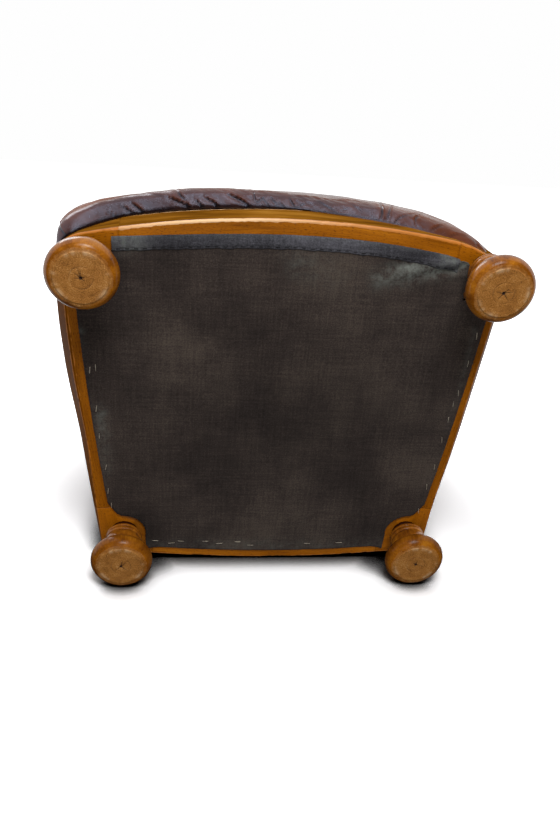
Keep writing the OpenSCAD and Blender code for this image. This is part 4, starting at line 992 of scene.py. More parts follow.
def frontRoll():
    # the leather over the front rail: rows of the section along the border's plan, pulled to the photographed contour, then lifted along
    # their normals by folds (a bell curve with a step in it), by lumps and by a seam at each corner
    e, g, z, t, q = rollRows()
    plan = drawIn(seatPath(e, g, earY(g), (250, 70, 60)))
    outer = (np.arange(len(t)) > 2) & (np.arange(len(t)) < len(t) - 3)
    # the photographed contour: each of its points pulls the fullest row towards it, and the pull fades at the sides and above
    full = int(np.argmax(q))
    line = plan[:, full]
    target = np.array(leatherRoll["contour"], float)
    near = np.linalg.norm(line[:, None] - target[None], axis=-1).argmin(0)
    pull = target - line[near]
    order = np.argsort(near)
    runs = lengthsAlong(line)
    ends = (runs[near[order[0]]], runs[near[order[-1]]])
    stops = np.concatenate([[ends[0] - 60], runs[near[order]], [ends[1] + 75]])
    move = np.stack([np.interp(runs, stops, np.concatenate([[0], pull[order, k], [0]])) for k in (0, 1)], -1)
    kernel = np.hanning(25) / np.hanning(25).sum()
    move = np.stack([np.convolve(np.pad(move[:, k], 12, mode="edge"), kernel, "valid") for k in (0, 1)], -1)
    fade = np.where(outer, np.clip(q / 0.93, 0, 1) * 0.85 + 0.15 * ease((0.8 - t) / 0.5), 0)[None]
    corner = (ridge(np.hypot(line[:, 0] - 303, line[:, 1] + 325), 60))[:, None] * outer[None] * (1 - 0.5 * t)[None]
    fade = np.maximum(fade, corner)
    # where the right half is pulled inwards, its whole height goes along, so that the fullest row stays the outermost
    inward = ease(-(move * (line + [0, 100])).sum(-1) / np.linalg.norm(line + [0, 100], axis=-1)) * ease((line[:, 0] - 60) / 60)
    fade = fade + (outer[None] - fade) * inward[:, None]
    plan = plan + move[:, None] * fade[..., None]
    wide = np.clip(-321.0 - plan[..., 0], 0, None) * ease((-286 - plan[..., 1]) / 20) * ease((z - 215) / -50)
    plan[..., 0] += 0.9 * wide * outer  # the left corner's side lies flat on the wood
    plan[..., 0] -= leftBelly(plan) * outer * ease((0.9 - t) / 0.9)
    # the leather's lower edge hangs over the polished band, further towards the corners, and lies flat against it there
    drop = np.interp(line[:, 0], *np.array(leatherRoll["drop"]).T) * ease((-238 - line[:, 1]) / 60) * 43
    drop = np.convolve(np.pad(drop, 8, mode="edge"), np.hanning(17) / np.hanning(17).sum(), "valid")
    hangs = ease(drop / 3)[:, None]
    for row in (1, 2, 3):
        plan[:, row] = plan[:, 0] + (plan[:, row] - plan[:, 0]) * hangs  # where it doesn't hang over, it turns in to the rabbet
    low = np.where(np.arange(len(t)) >= 2, 1 - ease(t / 0.3), 0) * (np.arange(len(t)) < len(t) - 3)
    grid = np.concatenate([plan, z[None, :, None] - (drop[:, None] * low)[..., None]], -1)
    along = runs - runs[len(runs) // 2]
    # outward normals of the section, for the folds
    du = np.gradient(grid, axis=0)
    dv = np.gradient(grid, axis=1)
    normal = np.cross(du, dv)
    normal /= np.maximum(np.linalg.norm(normal, axis=-1, keepdims=True), 1e-9)
    if normal[len(runs) // 2, full, 1] > 0:
        normal = -normal
    shown = pixels(grid)
    px, py = shown[..., 0], shown[..., 1]
    foldShade = np.zeros(px.shape)
    lift = np.zeros(px.shape)
    front = ease((-250 - grid[..., 1]) / 40) * ease((0.34 - t) / 0.12)[None]
    # each fold line is shaped into the leather, and painted shade darkens its valley
    for foldLine, deep, wide in leatherRoll["folds"]:
        far, share = toLine(px, py, foldLine)
        taper = np.sin(np.pi * np.clip(share * 0.84 + 0.1, 0, 1)) ** 0.7 * front
        foldShade = foldShade + ridge(far - 0.5, 0.3 * wide + 0.45) * taper * min(deep / 2.0, 1.0)
        lift = lift + deep * (0.35 * ridge(far - 2.3 * wide, 1.5 * wide) - np.tanh(far / 0.7) * ridge(far, wide)) * taper
    crumple = lumps(along[:, None] + 0 * px, grid[..., 2] * 1.6, 80,
                    (26, 16, 10)) * ridge(t - 0.07, 0.07)[None] * (0.25 + 0.75 * ridge(along - 30, 110.0))[:, None]
    lift = lift + 0.95 * crumple + 0.4 * lumps(along[:, None] + 0 * px, grid[..., 2], 81, (90, 55)) * outer
    # a seam with its piping at each front corner, where the front piece meets the side's, with painted shade beside it
    for foldLine, high in ((((60, 220), (61.5, 227), (64.5, 231.5), (69, 235), (74, 239)), 1.0),
                           (((478, 243), (481, 248), (486, 254)), 0.8)):
        far, share = toLine(px, py, foldLine)
        lift = lift + (high * ridge(far, 0.9) - 0.8 * ridge(far - 1.8, 1.0)) * front
        foldShade = foldShade + 0.7 * ridge(far - 1.8, 1.0) * front
    keep = outer * np.clip(np.minimum(t / 0.02, (1 - t) / 0.02), 0, 1)
    lift = lift * keep
    # painted shade along the lower edge, where the leather turns under, and over the roll's lower part
    tuckShade = (0.85 * ease((0.016 - t) / 0.016) + 0.35 * ease((0.075 - t) / 0.05)) * outer
    foldShade = np.clip(foldShade + tuckShade, 0, 1)
    grid = grid + normal * lift[..., None]
    # lighter and redder: as wear at the right end, the left end's upper part and on what stands out; as painted light
    # over the whole upper part
    upper = ease((t - 0.05) / 0.05)
    rubAndLight = np.clip(0.32 * ridge(grid[..., 0] - 262, 80) + (0.5 * ease((-205 - grid[..., 0]) / 60) + 0.25) * upper
                  + 0.12 * np.clip(lift, 0, 2), 0, 0.9) * front
    leatherPiece("front_roll_leather", grid, foldShade, rubAndLight, "seat_front_roll")


frontRoll()
print("front roll made")

# upholstery
upholstery = dict(gap=0.3, skin=4.0, post=24.0, backPost=50.0, armPad=14.0, armTop=542.0, armOut=4.0, scroll=52.0, scrollLength=180.0,
                  facing=7.0, deckTop=179.6,
                  wingFrame=22.0, wingFront=236.0, wingTipZ=800.0, wingTop=150.0, backPad=44.0, backCrown=34.0, crest=44.0,
                  crestDrop=16.0,
                  backRun=161.0, backRise=867.0, seatEdge=24.0, seatCrown=20.0, web=2.0, welt=2.6, outerFrom=119.0, outerGap=4.3)
backLength = math.hypot(upholstery["backRun"], upholstery["backRise"])
rake = math.atan2(upholstery["backRun"], upholstery["backRise"])
panelN = seatFrame["sideBow"] - sideRise - seatFrame["rabbet"] + upholstery["gap"]
postIn = -seatFrame["rail"] - upholstery["post"]
armIn = postIn - upholstery["armPad"]
padV = -upholstery["skin"] - upholstery["backPost"]
padEnd = padV - upholstery["web"] - upholstery["gap"]
backFront = padV - upholstery["backPad"]
scrollN, scrollZ = (postIn + upholstery["armOut"]) / 2, upholstery["armTop"] + 6


def backY(v, z):
    # depth of a plane v behind the back's rear face at height z: (v + height times the sine of the rake) over its cosine
    return seatFrame["rearY"] + (v + (z - seatFrame["band"]) * math.sin(rake)) / math.cos(rake)


def backPoint(x, v, w):
    # a point of the back: across, behind its rear face's plane, and up along it
    x, v, w = np.broadcast_arrays(np.asarray(x, float), v, w)
    return np.stack([x, seatFrame["rearY"] + v * math.cos(rake) + w * math.sin(rake),
                     seatFrame["band"] - v * math.sin(rake) + w * math.cos(rake)], -1)


def sidePlace(y, z, n):
    # a point of the chair's right side: at depth y and height z, n outwards from the side's plane
    flat = sideXY(n, (np.asarray(y, float) - seatFrame["footY"]) / math.cos(sideTurn))
    return np.concatenate([flat, np.broadcast_to(z, flat.shape[:-1])[..., None]], -1)


def evenly(outline, count, rounding=0):
    # a closed outline cut into equal steps, its corners rounded by a running mean
    p = np.asarray(outline, float)
    p = np.concatenate([p, p[:1]])
    t = lengthsAlong(p)
    at = np.linspace(0, t[-1], count, endpoint=False)
    q = np.stack([np.interp(at, t, p[:, k]) for k in range(p.shape[1])], -1)
    if rounding:
        kernel = np.hanning(2 * rounding + 3)[1:-1]
        kernel /= kernel.sum()
        q = np.stack([np.convolve(np.concatenate([q[-rounding:, k], q[:, k], q[:rounding, k]]), kernel,
                                  "valid") for k in range(q.shape[1])], -1)
    return q


def cord(name, path, radius, closed=True):
    # a welt: a leather-covered cord along a path, 10 points round
    path = np.asarray(path, float)
    step = np.roll(path, -1, 0) - np.roll(path, 1, 0) if closed else np.gradient(path, axis=0)
    step /= np.maximum(np.linalg.norm(step, axis=1, keepdims=True), 1e-9)
    helper = np.where(np.abs(step[:, 2:]) > 0.9, np.array([[0, 1.0, 0]]), np.array([[0, 0, 1.0]]))
    side = np.cross(step, helper)
    side /= np.linalg.norm(side, axis=1, keepdims=True)
    up = np.cross(side, step)
    a = np.linspace(0, 2 * np.pi, 11)[:-1]
    grid = path[:, None] + radius * (np.cos(a)[None, :, None] * side[:, None] + np.sin(a)[None, :, None] * up[:, None])
    flat = 0 * grid[..., 0]
    leatherPiece(name, grid, flat, 0.25 + flat, loop=closed)


def puffed(name, outline, place, thick, crown, middle=None, node=None, seed=1, left=False, count=260, rounding=4, weltAt=0.0, crease=1.0,
           bulge=None):
    # a stuffed panel: rings of its outline drawn in towards the middle by k, flat behind, round at the edge by a
    # quarter ellipse, and crowned in
    # front by crown * (1 - k squared) over the edge, with soft creases, and with painted shade along its seam and in
    # its gathers
    ring = evenly(outline, count, rounding)
    centre = ring.mean(0)[None] if middle is None else middle(ring)
    size = np.linalg.norm(ring - centre, axis=1).mean()
    edge = min(thick * 0.5, 8.0)
    turn = np.radians(np.linspace(0, 90, 7))
    k = np.concatenate([[0.04, 0.5, 0.9], 1 - edge / size * (1 - np.sin(turn)) * 0.8, 1 - edge / size * (1 - np.cos(turn[1:])),
                        np.linspace(1 - edge / size, 0.03, 30)[1:]])
    h = np.concatenate([[0, 0, 0], edge * 0.8 * (1 - np.cos(turn)), np.linspace(edge * 0.8, thick, 7)[1:], np.full(29, thick)])
    top = np.arange(len(k)) >= 15
    h = h + np.where(top, crown * (1 - np.clip(k / k[15], 0, 1) ** 2.2), 0)
    flat = centre[None] + (ring - centre)[None] * k[:, None, None]
    inner = np.clip((1 - k) * size / 14, 0, 1)[:, None] * top[:, None]
    a, b = flat[..., 0], flat[..., 1]
    wrinkle = lumps(a, b, seed, (150, 85, 52)) * 0.9 + lumps(a, b, seed + 1, (30, 19)) * 0.25
    span = np.cumsum(np.linalg.norm(ring - np.roll(ring, 1, 0), axis=1))
    gather = waves(span, seed + 2, (17, 29, 43), 0.2)[None] * ridge((1 - k)[:, None] * size - 14, 12)
    lift = crease * (wrinkle * inner + 0.7 * gather * inner)
    height = h[:, None] + lift + (bulge(a, b) * top[:, None] if bulge else 0)
    grid = mirrored(place(a, b, height), left)
    # painted shade along the seam and in the gathers' valleys
    foldShade = np.clip(0.85 * ridge((1 - k)[:, None] * size - 1.5, 3.2) + 0.5 * np.clip(-gather, 0, 1) + 0 * a, 0, 1)
    rubAndLight = np.clip(0.35 * (1 - k)[:, None] ** 0.7 + 0.12 * lumps(a, b, seed + 5, (210, 120)), 0, 0.7) * top[:, None]
    leatherPiece(name, grid, foldShade, rubAndLight, node)
    if weltAt:
        line = place(ring[:, 0], ring[:, 1], np.full(len(ring), weltAt))
        cord(name + "_welt", mirrored(line, left), upholstery["welt"])


def bezier(a, b, c, d, count):
    # a cubic curve: the four points weighted by the terms of ((1 - t) + t) cubed
    t = np.linspace(0, 1, count)[:, None]
    a, b, c, d = (np.array(p, float) for p in (a, b, c, d))
    return a * (1 - t) ** 3 + 3 * b * t * (1 - t) ** 2 + 3 * c * t ** 2 * (1 - t) + d * t ** 3


def wingOutline(v):
    # depth and height: the foot of the wing, its front edge, its rounded top, and the back's raked line
    knee = np.array([seatFrame["footY"] + upholstery["scrollLength"] + 119.3, scrollZ + upholstery["scroll"]])
    tip = np.array([seatFrame["footY"] + upholstery["wingFront"], upholstery["wingTipZ"]])
    top = backPoint(0, -upholstery["wingTop"], backLength - upholstery["gap"])[1:]
    rise, over = np.array([0, (tip[1] - knee[1]) * 0.38]), top[1] - tip[1]
    low = upholstery["armTop"] + upholstery["gap"]
    return np.concatenate([[(knee[0], low)], bezier(knee, knee + rise, tip - rise, tip, 40),
                           bezier(tip, tip + [0, over * 0.75], top - over * np.array([0.8, 0.06]), top, 40)[1:],
                           [backPoint(0, v, backLength - upholstery["gap"])[1:], (backY(v, low), low)]])


armLow, armHigh = upholstery["deckTop"] + upholstery["gap"], upholstery["armTop"] - upholstery["gap"]
armFront = seatFrame["footY"] + leatherRoll["earFront"] + upholstery["facing"] + upholstery["gap"]
armOutline = [(armFront, armHigh), (armFront, armLow), (backY(padEnd, armLow), armLow), (backY(padEnd, armHigh), armHigh)]
outerLow = seatFrame["band"] + upholstery["gap"]
outerY = lambda s: seatFrame["footY"] + s * math.cos(sideTurn)
outerOutline = [(outerY(upholstery["outerFrom"]), outerLow), (backY(-upholstery["outerGap"], outerLow), outerLow),
                (backY(-upholstery["outerGap"], upholstery["armTop"]), upholstery["armTop"]),
                (outerY(upholstery["outerFrom"]), upholstery["armTop"])]
headTurn = np.radians(np.linspace(-46.2, 207.8, 60))
facingOutline = np.concatenate([[(armIn, armLow), (panelN, armLow), (panelN, outerLow), (panelN + upholstery["skin"], outerLow)],
                                np.stack([scrollN + upholstery["scroll"] * np.cos(headTurn),
                                          scrollZ + upholstery["scroll"] * np.sin(headTurn)], -1)])
facingS = leatherRoll["earFront"] + upholstery["facing"] - upholstery["gap"]


def facingMiddle(ring):
    # the line that a facing's rings shrink to: upright below, leaning outwards to the scroll
    z = np.clip(ring[:, 1], 214, scrollZ)
    return np.stack([-34 + 6 * ease((z - 380) / 168), z], -1)


def facingPlace(n, z, h):
    # a point of an arm's front: n outwards, at height z, h forwards from the facing's plane
    flat = sideXY(n, facingS - h)
    return np.concatenate([flat, np.asarray(z)[..., None]], -1)


def outerPlace(y, z, h, left=False):
    # the outside of an arm, upright but for a slight lean; the left one follows its rail outwards low down
    if left:
        h = h + leftBelly(np.stack([-1 + 0 * y, y], -1)) * ease((400 - z) / 250)
    return sidePlace(y, z, panelN + (upholstery["armOut"] + upholstery["gap"] - panelN) * np.clip((z - outerLow) / 390, 0, 1) + h)


def rearBulge(y, z):
    # the left outer arm swells near its rear foot: two bell curves multiplied, one along y and one up z
    a = lopsided
    return a["bulgeOut"] * ridge(y - a["bulgeY"], a["bulgeLong"]) * ridge(z - a["bulgeZ"], a["bulgeHigh"])


for left, hand in ((True, "left"), (False, "right")):
    puffed(hand + "_wing_inside", wingOutline(padEnd), lambda y, z, h: sidePlace(y, z, -seatFrame["rail"] - upholstery["gap"] - h), 24,
           12.5, node=hand + "_wing_pad", seed=100 + left, left=left, count=340, weltAt=2.0)
    puffed(hand + "_wing_outside", wingOutline(-upholstery["skin"] - upholstery["gap"]),
           lambda y, z, h: sidePlace(y, z, upholstery["wingFrame"] - seatFrame["rail"] + upholstery["gap"] + h), 13, 7.5,
           node=hand + "_outer_wing", seed=110 + left, left=left, count=340, weltAt=1.5, crease=0.7)
    puffed(hand + "_arm_inside", armOutline, lambda y, z, h: sidePlace(y, z, postIn - upholstery["gap"] - h), 9, 4.0,
           node=hand + "_arm_pad", seed=120 + left, left=left)
    puffed(hand + "_arm_outside", outerOutline, lambda y, z, h: outerPlace(y, z, h, left), 3.2, 1.2, node=hand + "_outer_arm",
           seed=130 + left, left=left, count=320, crease=0.5, bulge=rearBulge if left else None)
    puffed(hand + "_arm_front", facingOutline, facingPlace, 4.2, 2.6, middle=facingMiddle, node=hand + "_arm_facing", seed=140 + left,
           left=left, count=320, rounding=2, weltAt=2.6, crease=0.35)

# a stuffed leather band round each wing's edge, over the wood between its two panels, and a cord along its foot
wingBand = dict(width=30.0, high=7.0, middle=-25.0)
for left, hand in ((True, "left"), (False, "right")):
    line = wingOutline(-upholstery["skin"] - upholstery["gap"])[:-2]
    step = lengthsAlong(line)
    at = np.linspace(0, step[-1], 260)
    line = np.stack([np.interp(at, step, line[:, k]) for k in (0, 1)], -1)
    along = np.gradient(line, axis=0)
    along /= np.linalg.norm(along, axis=1, keepdims=True)
    out = np.stack([-along[:, 1], along[:, 0]], -1)
    turn = np.radians(np.linspace(0, 180, 22))
    swell = wingBand["high"] * (1 + 0.08 * waves(at, 145 + left, (31, 47, 83)))[:, None] * np.sin(turn) ** 0.7
    n = wingBand["middle"] - wingBand["width"] / 2 * np.cos(turn) + 0 * swell
    n = np.concatenate([n, np.full((len(at), 2), wingBand["middle"] + 8), np.full((len(at), 2), wingBand["middle"] - 8)], 1)
    n[:, -3], n[:, -2] = wingBand["middle"] + 2, wingBand["middle"] - 2
    lift = np.concatenate([swell, np.full((len(at), 4), 0.3)], 1)
    yz = line[:, None] + out[:, None] * lift[..., None]
    grid = mirrored(sidePlace(yz[..., 0], yz[..., 1], n), left)
    # painted shade along the band's edges, where it meets the panels
    foldShade = np.concatenate([np.clip(1 - swell / 3, 0, 1) * 0.9, np.zeros((len(at), 4))], 1)
    leatherPiece(hand + "_wing_band", grid, foldShade, 0.4 * np.clip(lift / wingBand["high"], 0, 1))
    y = np.linspace(seatFrame["footY"] + 122, backY(-8, upholstery["armTop"]), 90)
    for name, n, high, low in (("_arm_seam", 6.2, upholstery["armTop"] + 0.4, y),
                               ("_inner_arm_seam", armIn + 3.4, upholstery["armTop"], y[y < backY(padEnd - 4, upholstery["armTop"])])):
        start = outerY(leatherRoll["earFront"] + upholstery["facing"]
                       + upholstery["scrollLength"]) - 2 if name == "_arm_seam" else outerY(300)
        low = low[low > start]
        path = mirrored(sidePlace(low, np.full(len(low), high), n), left)
        cord(hand + name, path, 4.4, closed=False)

# the arms' scrolls: a round roll cut flat underneath, pleated where it meets the facing
scroll = dict(radius=52.0, sag=0.6, pleats=26, pleatDepth=1.3, pleatLength=42.0)
for left, hand in ((True, "left"), (False, "right")):
    s = np.concatenate([np.linspace(0, 60, 50), np.linspace(62, upholstery["scrollLength"] - 3, 40),
                        [upholstery["scrollLength"] - 1, upholstery["scrollLength"]]])
    a0 = math.asin(-(6 - upholstery["gap"]) / scroll["radius"])
    turn = np.linspace(a0, math.pi - a0, 190)
    pleat = np.abs(np.sin(turn * scroll["pleats"] / 2 + 0.5 * np.sin(turn * 5)))
    drop = scroll["pleatDepth"] * (1 - pleat) ** 3 * 3 * np.exp(-s[:, None] / scroll["pleatLength"] * 1.6) * (s[:, None] < 176)
    edge = 3.0 * np.exp(-s[:, None] / 2.2) + 2.0 * np.exp(-(upholstery["scrollLength"] - s[:, None]) / 2.0)
    radius = scroll["radius"] - 0.4 - drop - edge + 0.45 * lumps(turn[None] * scroll["radius"], s[:, None], 150 + left,
                                                                 (120, 70, 40)) - scroll["sag"]
    arcN = scrollN + radius * np.cos(turn)
    arcZ = np.maximum(scrollZ + radius * np.sin(turn), upholstery["armTop"] + upholstery["gap"])
    lowN = scrollN + radius[:, :1] * np.linspace(-1, 1, 26)[None, 1:-1] * math.cos(a0)
    n = np.concatenate([arcN, lowN], 1)
    z = np.concatenate([arcZ, np.full(lowN.shape, upholstery["armTop"] + upholstery["gap"])], 1)
    flat = sideXY(n, leatherRoll["earFront"] + upholstery["facing"] + s[:, None])
    grid = mirrored(np.concatenate([flat, z[..., None]], -1), left)
    # painted shade in the pleats and at the roll's two ends
    foldShade = np.concatenate([np.clip(drop / 2 + edge / 3, 0, 1), np.zeros(lowN.shape)], 1)
    rubAndLight = np.concatenate([0.55 * ridge(turn - 1.5, 0.6)[None] + 0 * drop, np.zeros(lowN.shape)], 1)
    leatherPiece(hand + "_arm_roll", grid, foldShade, rubAndLight, hand + "_arm_scroll")
print("arms and wings made")

# the outside back, with a welt round it
half = lambda w: halfAt(panelN + upholstery["skin"], seatFrame["rearY"] + w * math.sin(rake))
backTop = backLength - 0.1
outsideOutline = [(-half(0.6), 0.6), (half(0.6), 0.6), (half(backTop), backTop), (-half(backTop), backTop)]
puffed("back_outside", outsideOutline, lambda x, w, h: backPoint(x, -upholstery["skin"] + h, w), 3.4, 1.6, node="outside_back", seed=160,
       count=420, rounding=3, weltAt=3.0, crease=0.5)

# the back cushion: rounded rings that are flat behind the seat and crown forward above it
insideBack = dict(rows=44, corner=6.0, inset=3.0)


def backRing(v, low, inset, count=300):
    # one ring of the back cushion: a rectangle with rounded corners, set in by inset, v behind the rear face, as wide as the arms leave
    # free
    high, bottom, r = backLength - upholstery["gap"] - inset, low + inset * 0.8, insideBack["corner"] + inset * 0.7
    corners = []
    for sx, sw, start in ((1, -1, -90), (1, 1, 0), (-1, 1, 90), (-1, -1, 180)):
        for k in range(9):
            w = bottom + r if sw < 0 else high - r
            a = math.radians(start + 11.25 * k)
            wide = halfAt(armIn - upholstery["gap"], seatFrame["rearY"] + v * math.cos(rake) + w * math.sin(rake)) - inset - r
            corners.append((sx * wide + r * math.cos(a), w + r * math.sin(a)))
    ring = evenly(corners, count)
    return np.stack([ring[:, 0], np.full(count, v), ring[:, 1]], -1)


backLow = (upholstery["deckTop"] + upholstery["gap"] - seatFrame["band"]) / math.cos(rake)
crownLow = (leatherRoll["top"] + upholstery["seatEdge"] + upholstery["seatCrown"] - seatFrame["band"]) / math.cos(rake)
rows = [backRing(padEnd, backLow, 6), backRing(padEnd - 2, backLow, 2), backRing(padEnd - 6, backLow, 0),
        backRing(padEnd - 20, backLow, 0), backRing(padEnd - 34, backLow, 0), backRing(backFront, backLow, 0)]
for t in np.linspace(0, 1, insideBack["rows"]):
    share = np.interp(t, [0, 0.06, 0.16, 0.34, 0.62, 0.85, 1], [0, 0.02, 0.08, 0.2, 0.45, 0.75, 1])
    rows.append(backRing(backFront - upholstery["backCrown"] * np.interp(t, [0, 0.06, 0.16, 0.34, 0.62, 0.85, 1],
                                                                         [0.0, 0.12, 0.3, 0.55, 0.78, 0.93, 1]), crownLow,
                         upholstery["backPad"] * insideBack["inset"] * share))
last = rows[-1]
centre = last.mean(0)
for k in np.linspace(1, 0.03, 16)[1:]:
    rows.append(centre + (last - centre) * k)
rows = np.array(rows)
number = np.arange(len(rows))
face = ease((number - 8) / 10)[:, None]
seamDent = -2.4 * ridge(number - 7.0, 1.6)[:, None]
x, w = rows[..., 0], rows[..., 2]
rise = face * (1.4 * lumps(x, w, 170, (230, 140, 90)) + 0.3 * lumps(x, w, 171, (36, 22))) + seamDent * 0.6
grid = backPoint(x, rows[..., 1] - rise, w)
# painted shade in the seam's dent
foldShade = np.clip(0.9 * ridge(number - 7.5, 2.2)[:, None] + 0 * x, 0, 1)
rubAndLight = np.clip(face * (0.35 + 0.3 * lumps(x, w, 172, (260, 160))) * ease((w - 330) / 300), 0, 0.7)
leatherPiece("back_inside", grid, foldShade, rubAndLight, "back_cushion")

# the crest: a roll across the top of the back, lower at its ends, with gathers
crestLow = backLength + upholstery["gap"]
crestFront = backFront - upholstery["backCrown"] * 0.6
crestHalf = halfAt(panelN + upholstery["skin"], backPoint(0, 0, crestLow)[1])
t = np.sin(np.linspace(-1, 1, 200) * math.pi / 2 * 0.995) / math.sin(math.pi / 2 * 0.995)
end = np.sqrt(1 - np.abs(t) ** 8 * 0.75)[:, None]
turn = np.linspace(math.pi, 0, 70)
top = np.sin(turn) ** 0.62
reachBack = 0.5 - 0.5 * np.sign(np.cos(turn)) * np.abs(np.cos(turn)) ** 0.9
depth = np.concatenate([reachBack, np.linspace(0.98, 0.02, 22)])
lift = np.concatenate([top, np.zeros(22)])
high = (upholstery["crest"] - upholstery["crestDrop"] * t[:, None] ** 2) * end
gather = waves(t[:, None] * crestHalf + depth * 9, 180, (23, 37, 61), 0.3) * 0.8 * np.sin(np.pi * np.clip(lift, 0, 1) / 1.6)
v = crestFront * (0.5 + (0.5 - (1 - depth)) * -end)
w = crestLow + np.maximum(high * lift + gather * (lift > 0.05), 0)
grid = backPoint(crestHalf * t[:, None] + 0 * v, v, w)
# painted shade along the roll's lower edges and in its gathers
foldShade = np.clip(0.8 * (lift < 0.22) * (lift > 0) + np.clip(-gather, 0, 1) * 0.6 + 0 * v, 0, 1)
rubAndLight = np.clip(0.5 * ridge(lift - 1, 0.25) + 0 * v, 0, 1)
leatherPiece("crest_leather", grid, foldShade, rubAndLight, "crest_roll")
print("back made")

# the seat: a T-shaped cushion with a boxed edge between two welts, crowned in the middle
seatTop = dict(borderTop=400.0, edge=424.0, crown=20.0, borderIn=16.2, stuffing=26.0, middleY=seatFrame["footY"] + 56.0)


def seatRing(e, g, back, z):
    # one level ring of the seat: round the front as the border goes, in along the ears, back between the arms and across
    e, g, back = (np.array([float(q)]) for q in (e, g, back))
    path = seatPath(e, g, earY(g) - back, (150, 40, 50))[:, 0]
    y = backY(backFront, z) - upholstery["gap"] - back[0]
    n = armIn - upholstery["gap"] - back[0]
    ear, corner = sideXY(n, leatherRoll["earFront"] - 0.6 - back[0]), np.array([halfAt(n, y), y])
    run = lambda p, q, count: p + (q - p) * np.linspace(0, 1, count + 1)[1:, None]
    flip = np.array([-1.0, 1])
    ring = np.concatenate([path, run(path[-1], ear, 14), run(ear, corner, 70), run(corner, corner * flip, 120),
                           run(corner * flip, ear * flip, 70), run(ear * flip, path[0], 14)[:-1]])
    return np.concatenate([ring, np.full((len(ring), 1), float(z))], 1)


rows = []
along = lambda z: (z - seatFrame["top"]) / (seatTop["borderTop"] - seatFrame["top"])
innerFrom = lambda setIn, z: seatTop["borderIn"] + 2 * upholstery["gap"] + (setIn + seatTop["stuffing"] - seatTop["borderIn"]) * along(z)
for z in (upholstery["deckTop"] + upholstery["gap"], 250, 320, 380, 396, 400.3):
    rows.append(seatRing(innerFrom(leatherRoll["lean"], z), innerFrom(leatherRoll["sideLean"], z), 0, z))
for d, back, z in ((8, 1.5, 400.6), (3, 0.6, 402), (0.8, 0.3, 404), (0, 0.3, 406.5), (-0.6, 0.2, 410), (-0.9, 0.2, 413), (-0.6, 0.2, 416),
                   (0.4, 0.3, 419), (2.2, 0.6, 421.5), (4.5, 1.2, 423.2), (8, 2.4, 424.2)):
    rows.append(seatRing(leatherRoll["lean"] + d + 2.5, leatherRoll["sideLean"] + d * 0.5, back, z))
edge = rows[-1]
middle = np.array([0, seatTop["middleY"], 0])
for k in np.concatenate([np.cos(np.linspace(0.12, 1.05, 16)), np.linspace(0.46, 0.02, 12)]):
    ring = middle + (edge - middle) * k
    ring[:, 2] = seatTop["edge"] + 0.2 + (seatTop["crown"] - 0.6) * math.sqrt(1 - k * k)
    rows.append(ring)
grid = np.array(rows)
x, y = grid[..., 0], grid[..., 1]
number = np.arange(len(rows))[:, None]
face = ease((number - 17) / 6)
grid[..., 2] += face * (1.2 * lumps(x, y, 190, (210, 130, 85)) + 0.3 * lumps(x, y, 191, (40, 24)))
# painted shade beside the two welts
foldShade = np.clip(0.9 * ridge(number - 6.5, 1.3) + 0.9 * ridge(number - 16.8, 1.0) + 0 * x, 0, 1)
rubAndLight = np.clip(face * (0.35 + 0.3 * lumps(x, y, 192, (260, 170))) + 0.25 * ridge(number - 11, 2.5), 0, 0.7)
leatherPiece("seat_leather", grid, foldShade, rubAndLight, "seat_cushion")
for name, d, z, wide in (("seat_top_welt", 4.6, 422.8, 0.3), ("seat_low_welt", 3.4, 402.4, 0.3)):
    cord(name, seatRing(leatherRoll["lean"] + d, leatherRoll["sideLean"] + d * 0.5, wide, z)[:480], upholstery["welt"], closed=False)
print("seat made")

# what carries on from the CAD
wood = ["frame_dowels", "back_top_rail", "back_lower_rail"]
wood += [hand + part for hand in ("left", "right") for part in ("_arm_post", "_arm_rail", "_back_post", "_wing_frame")]
carried = {"foot_studs": rodSteel, "deck_cloth": deckCloth, **dict.fromkeys(wood, timber)}
carried.update(dict.fromkeys(("seat_webbing", "cross_webbing", "back_webbing"), webCloth))
for node, finish in carried.items():
    cadMesh = bpy.data.objects[node].data
    for k in range(max(1, len(cadMesh.materials))):
        if len(cadMesh.materials) == 0:
            cadMesh.materials.append(finish)
        else:
            cadMesh.materials[k] = finish

# floor, light and world
studio = dict(reach=6.0, keyPower=52.0, fillPower=17.0, topPower=34.0, rearPower=20.0, worldLight=0.2, floorGain=1.5, clearFrom=0.48,
              clearTo=0.95)


def seenStraight(t):
    # the largest of the camera's, the mirrors' and the clear surfaces' rays, and the camera's alone
    path = add(t, "LightPath")
    seen = add(t, "Math", {0: path.outputs["Is Camera Ray"], 1: path.outputs["Is Glossy Ray"]}, operation="MAXIMUM").outputs[0]
    seen = add(t, "Math", {0: seen, 1: path.outputs["Is Transmission Ray"]}, operation="MAXIMUM").outputs[0]
    return seen, path.outputs["Is Camera Ray"]


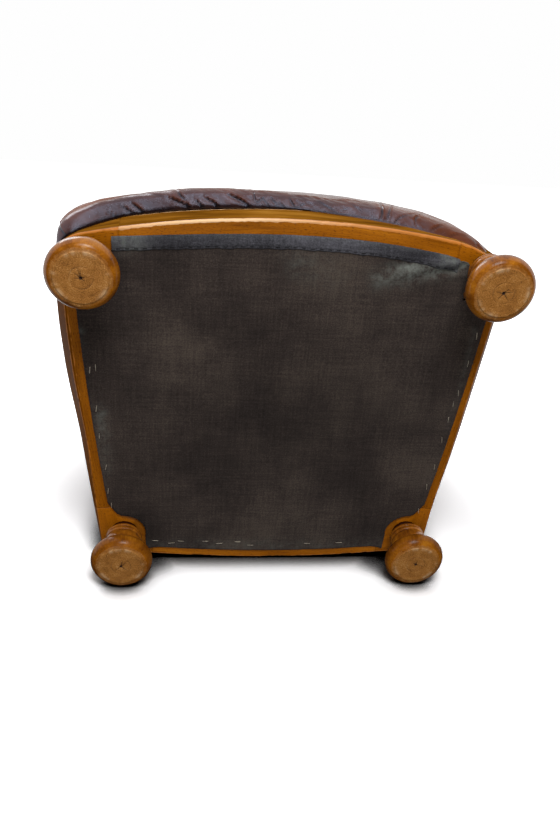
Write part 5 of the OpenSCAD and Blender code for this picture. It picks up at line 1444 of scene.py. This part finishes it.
def floorPlane(name, centre, normal, size):
    # a square of floor with its normal towards the chair
    normal = Vector(normal).normalized()
    turn = normal.to_track_quat("Z", "Y").to_matrix()
    corners = [Vector(centre) + turn @ Vector((a * size, b * size, 0)) for a, b in ((-1, -1), (1, -1), (1, 1), (-1, 1))]
    mesh = bpy.data.meshes.new(name)
    mesh.from_pydata(corners, [], [(0, 1, 2, 3)])
    plane = putObject(name, mesh)
    made, t = material(name)
    seen, cameraRay = seenStraight(t)
    facing = add(t, "Math", {0: 1.0, 1: add(t, "NewGeometry").outputs["Backfacing"]}, operation="SUBTRACT").outputs[0]
    seen = times(t, seen, facing)
    # the shaded floor stands well above white where no shadow falls, and it glows plain white away from the chair
    gain = studio["floorGain"]
    # near contact darkens further: the share of open sky within 70 mm sets it
    openSky = add(t, "AmbientOcclusion", {"Distance": 0.07}, samples=16).outputs["AO"]
    openSky = ramp(t, openSky, (0.40, 0.0), (0.54, 0.16), (0.72, 0.78), (0.92, 1.0))
    tint = blend(t, openSky, (0.0, 0.0, 0.0, 1), (gain, gain, gain * 1.01, 1))
    tint = blend(t, cameraRay, colour("#404040"), tint)
    diffuse = add(t, "BsdfDiffuse", {"Color": tint})
    far = add(t, "VectorMath", {0: add(t, "NewGeometry").outputs["Position"]}, operation="LENGTH").outputs["Value"]
    far = add(t, "MapRange", {"Value": far, "From Min": studio["clearFrom"], "From Max": studio["clearTo"]},
              interpolation_type="SMOOTHSTEP").outputs[0]
    glow = add(t, "Emission", {"Color": colour("#ffffff"), "Strength": far})
    both = add(t, "AddShader", {0: diffuse.outputs[0], 1: glow.outputs[0]})
    clear = add(t, "BsdfTransparent")
    mix = add(t, "MixShader", {0: seen, 1: clear.outputs[0], 2: both.outputs[0]})
    surface(t, mix)
    mesh.materials.append(made)
    plane.visible_shadow = False
    return plane


# the chair lies on its back in the photograph: its floor touches the rear feet and the top of the back
a, b = np.array([0, 0.2200, 0.0175]), np.array([0, 0.3900, 0.9970])
lean = (b - a) / np.linalg.norm(b - a)
floorPlane("lying_floor", (a + b) / 2, (0, -lean[2], lean[1]), studio["reach"])
floorPlane("standing_floor", (0, 0, -0.0005), (0, 0, 1), studio["reach"])

world = bpy.data.worlds.new("studio_world")
bpy.context.scene.world = world
world.use_nodes = True
t = world.node_tree
t.nodes.clear()
seen = seenStraight(t)[0]
room = add(t, "Background", {"Color": colour("#ffffff"), "Strength": studio["worldLight"]})
backdrop = add(t, "Background", {"Color": colour("#fefefe"), "Strength": 1.0})
mix = add(t, "MixShader", {0: seen, 1: room.outputs[0], 2: backdrop.outputs[0]})
t.links.new(mix.outputs[0], add(t, "OutputWorld").inputs[0])


def softLamp(name, place, target, size, power):
    # a square lamp at place that faces target
    lamp = bpy.data.lights.new(name, "AREA")
    lamp.shape, lamp.size, lamp.energy = "SQUARE", size, power
    holder = putObject(name, lamp)
    place, target = Vector(place), Vector(target)
    holder.matrix_world = Matrix.Translation(place) @ (target - place).to_track_quat("-Z", "Y").to_matrix().to_4x4()


softLamp("front_lamp", (0.05, -2.25, -1.0), (0, 0, 0.1), 0.85, studio["keyPower"])
softLamp("under_lamp", (-0.5, -0.8, -2.5), (0, 0, 0.1), 1.5, studio["fillPower"])
softLamp("upright_lamp", (-1.4, -1.8, 2.8), (0, 0, 0.6), 1.6, studio["topPower"])
softLamp("rear_lamp", (1.6, 2.2, 1.6), (0, 0, 0.6), 1.8, studio["rearPower"])
print("floor and lights made")
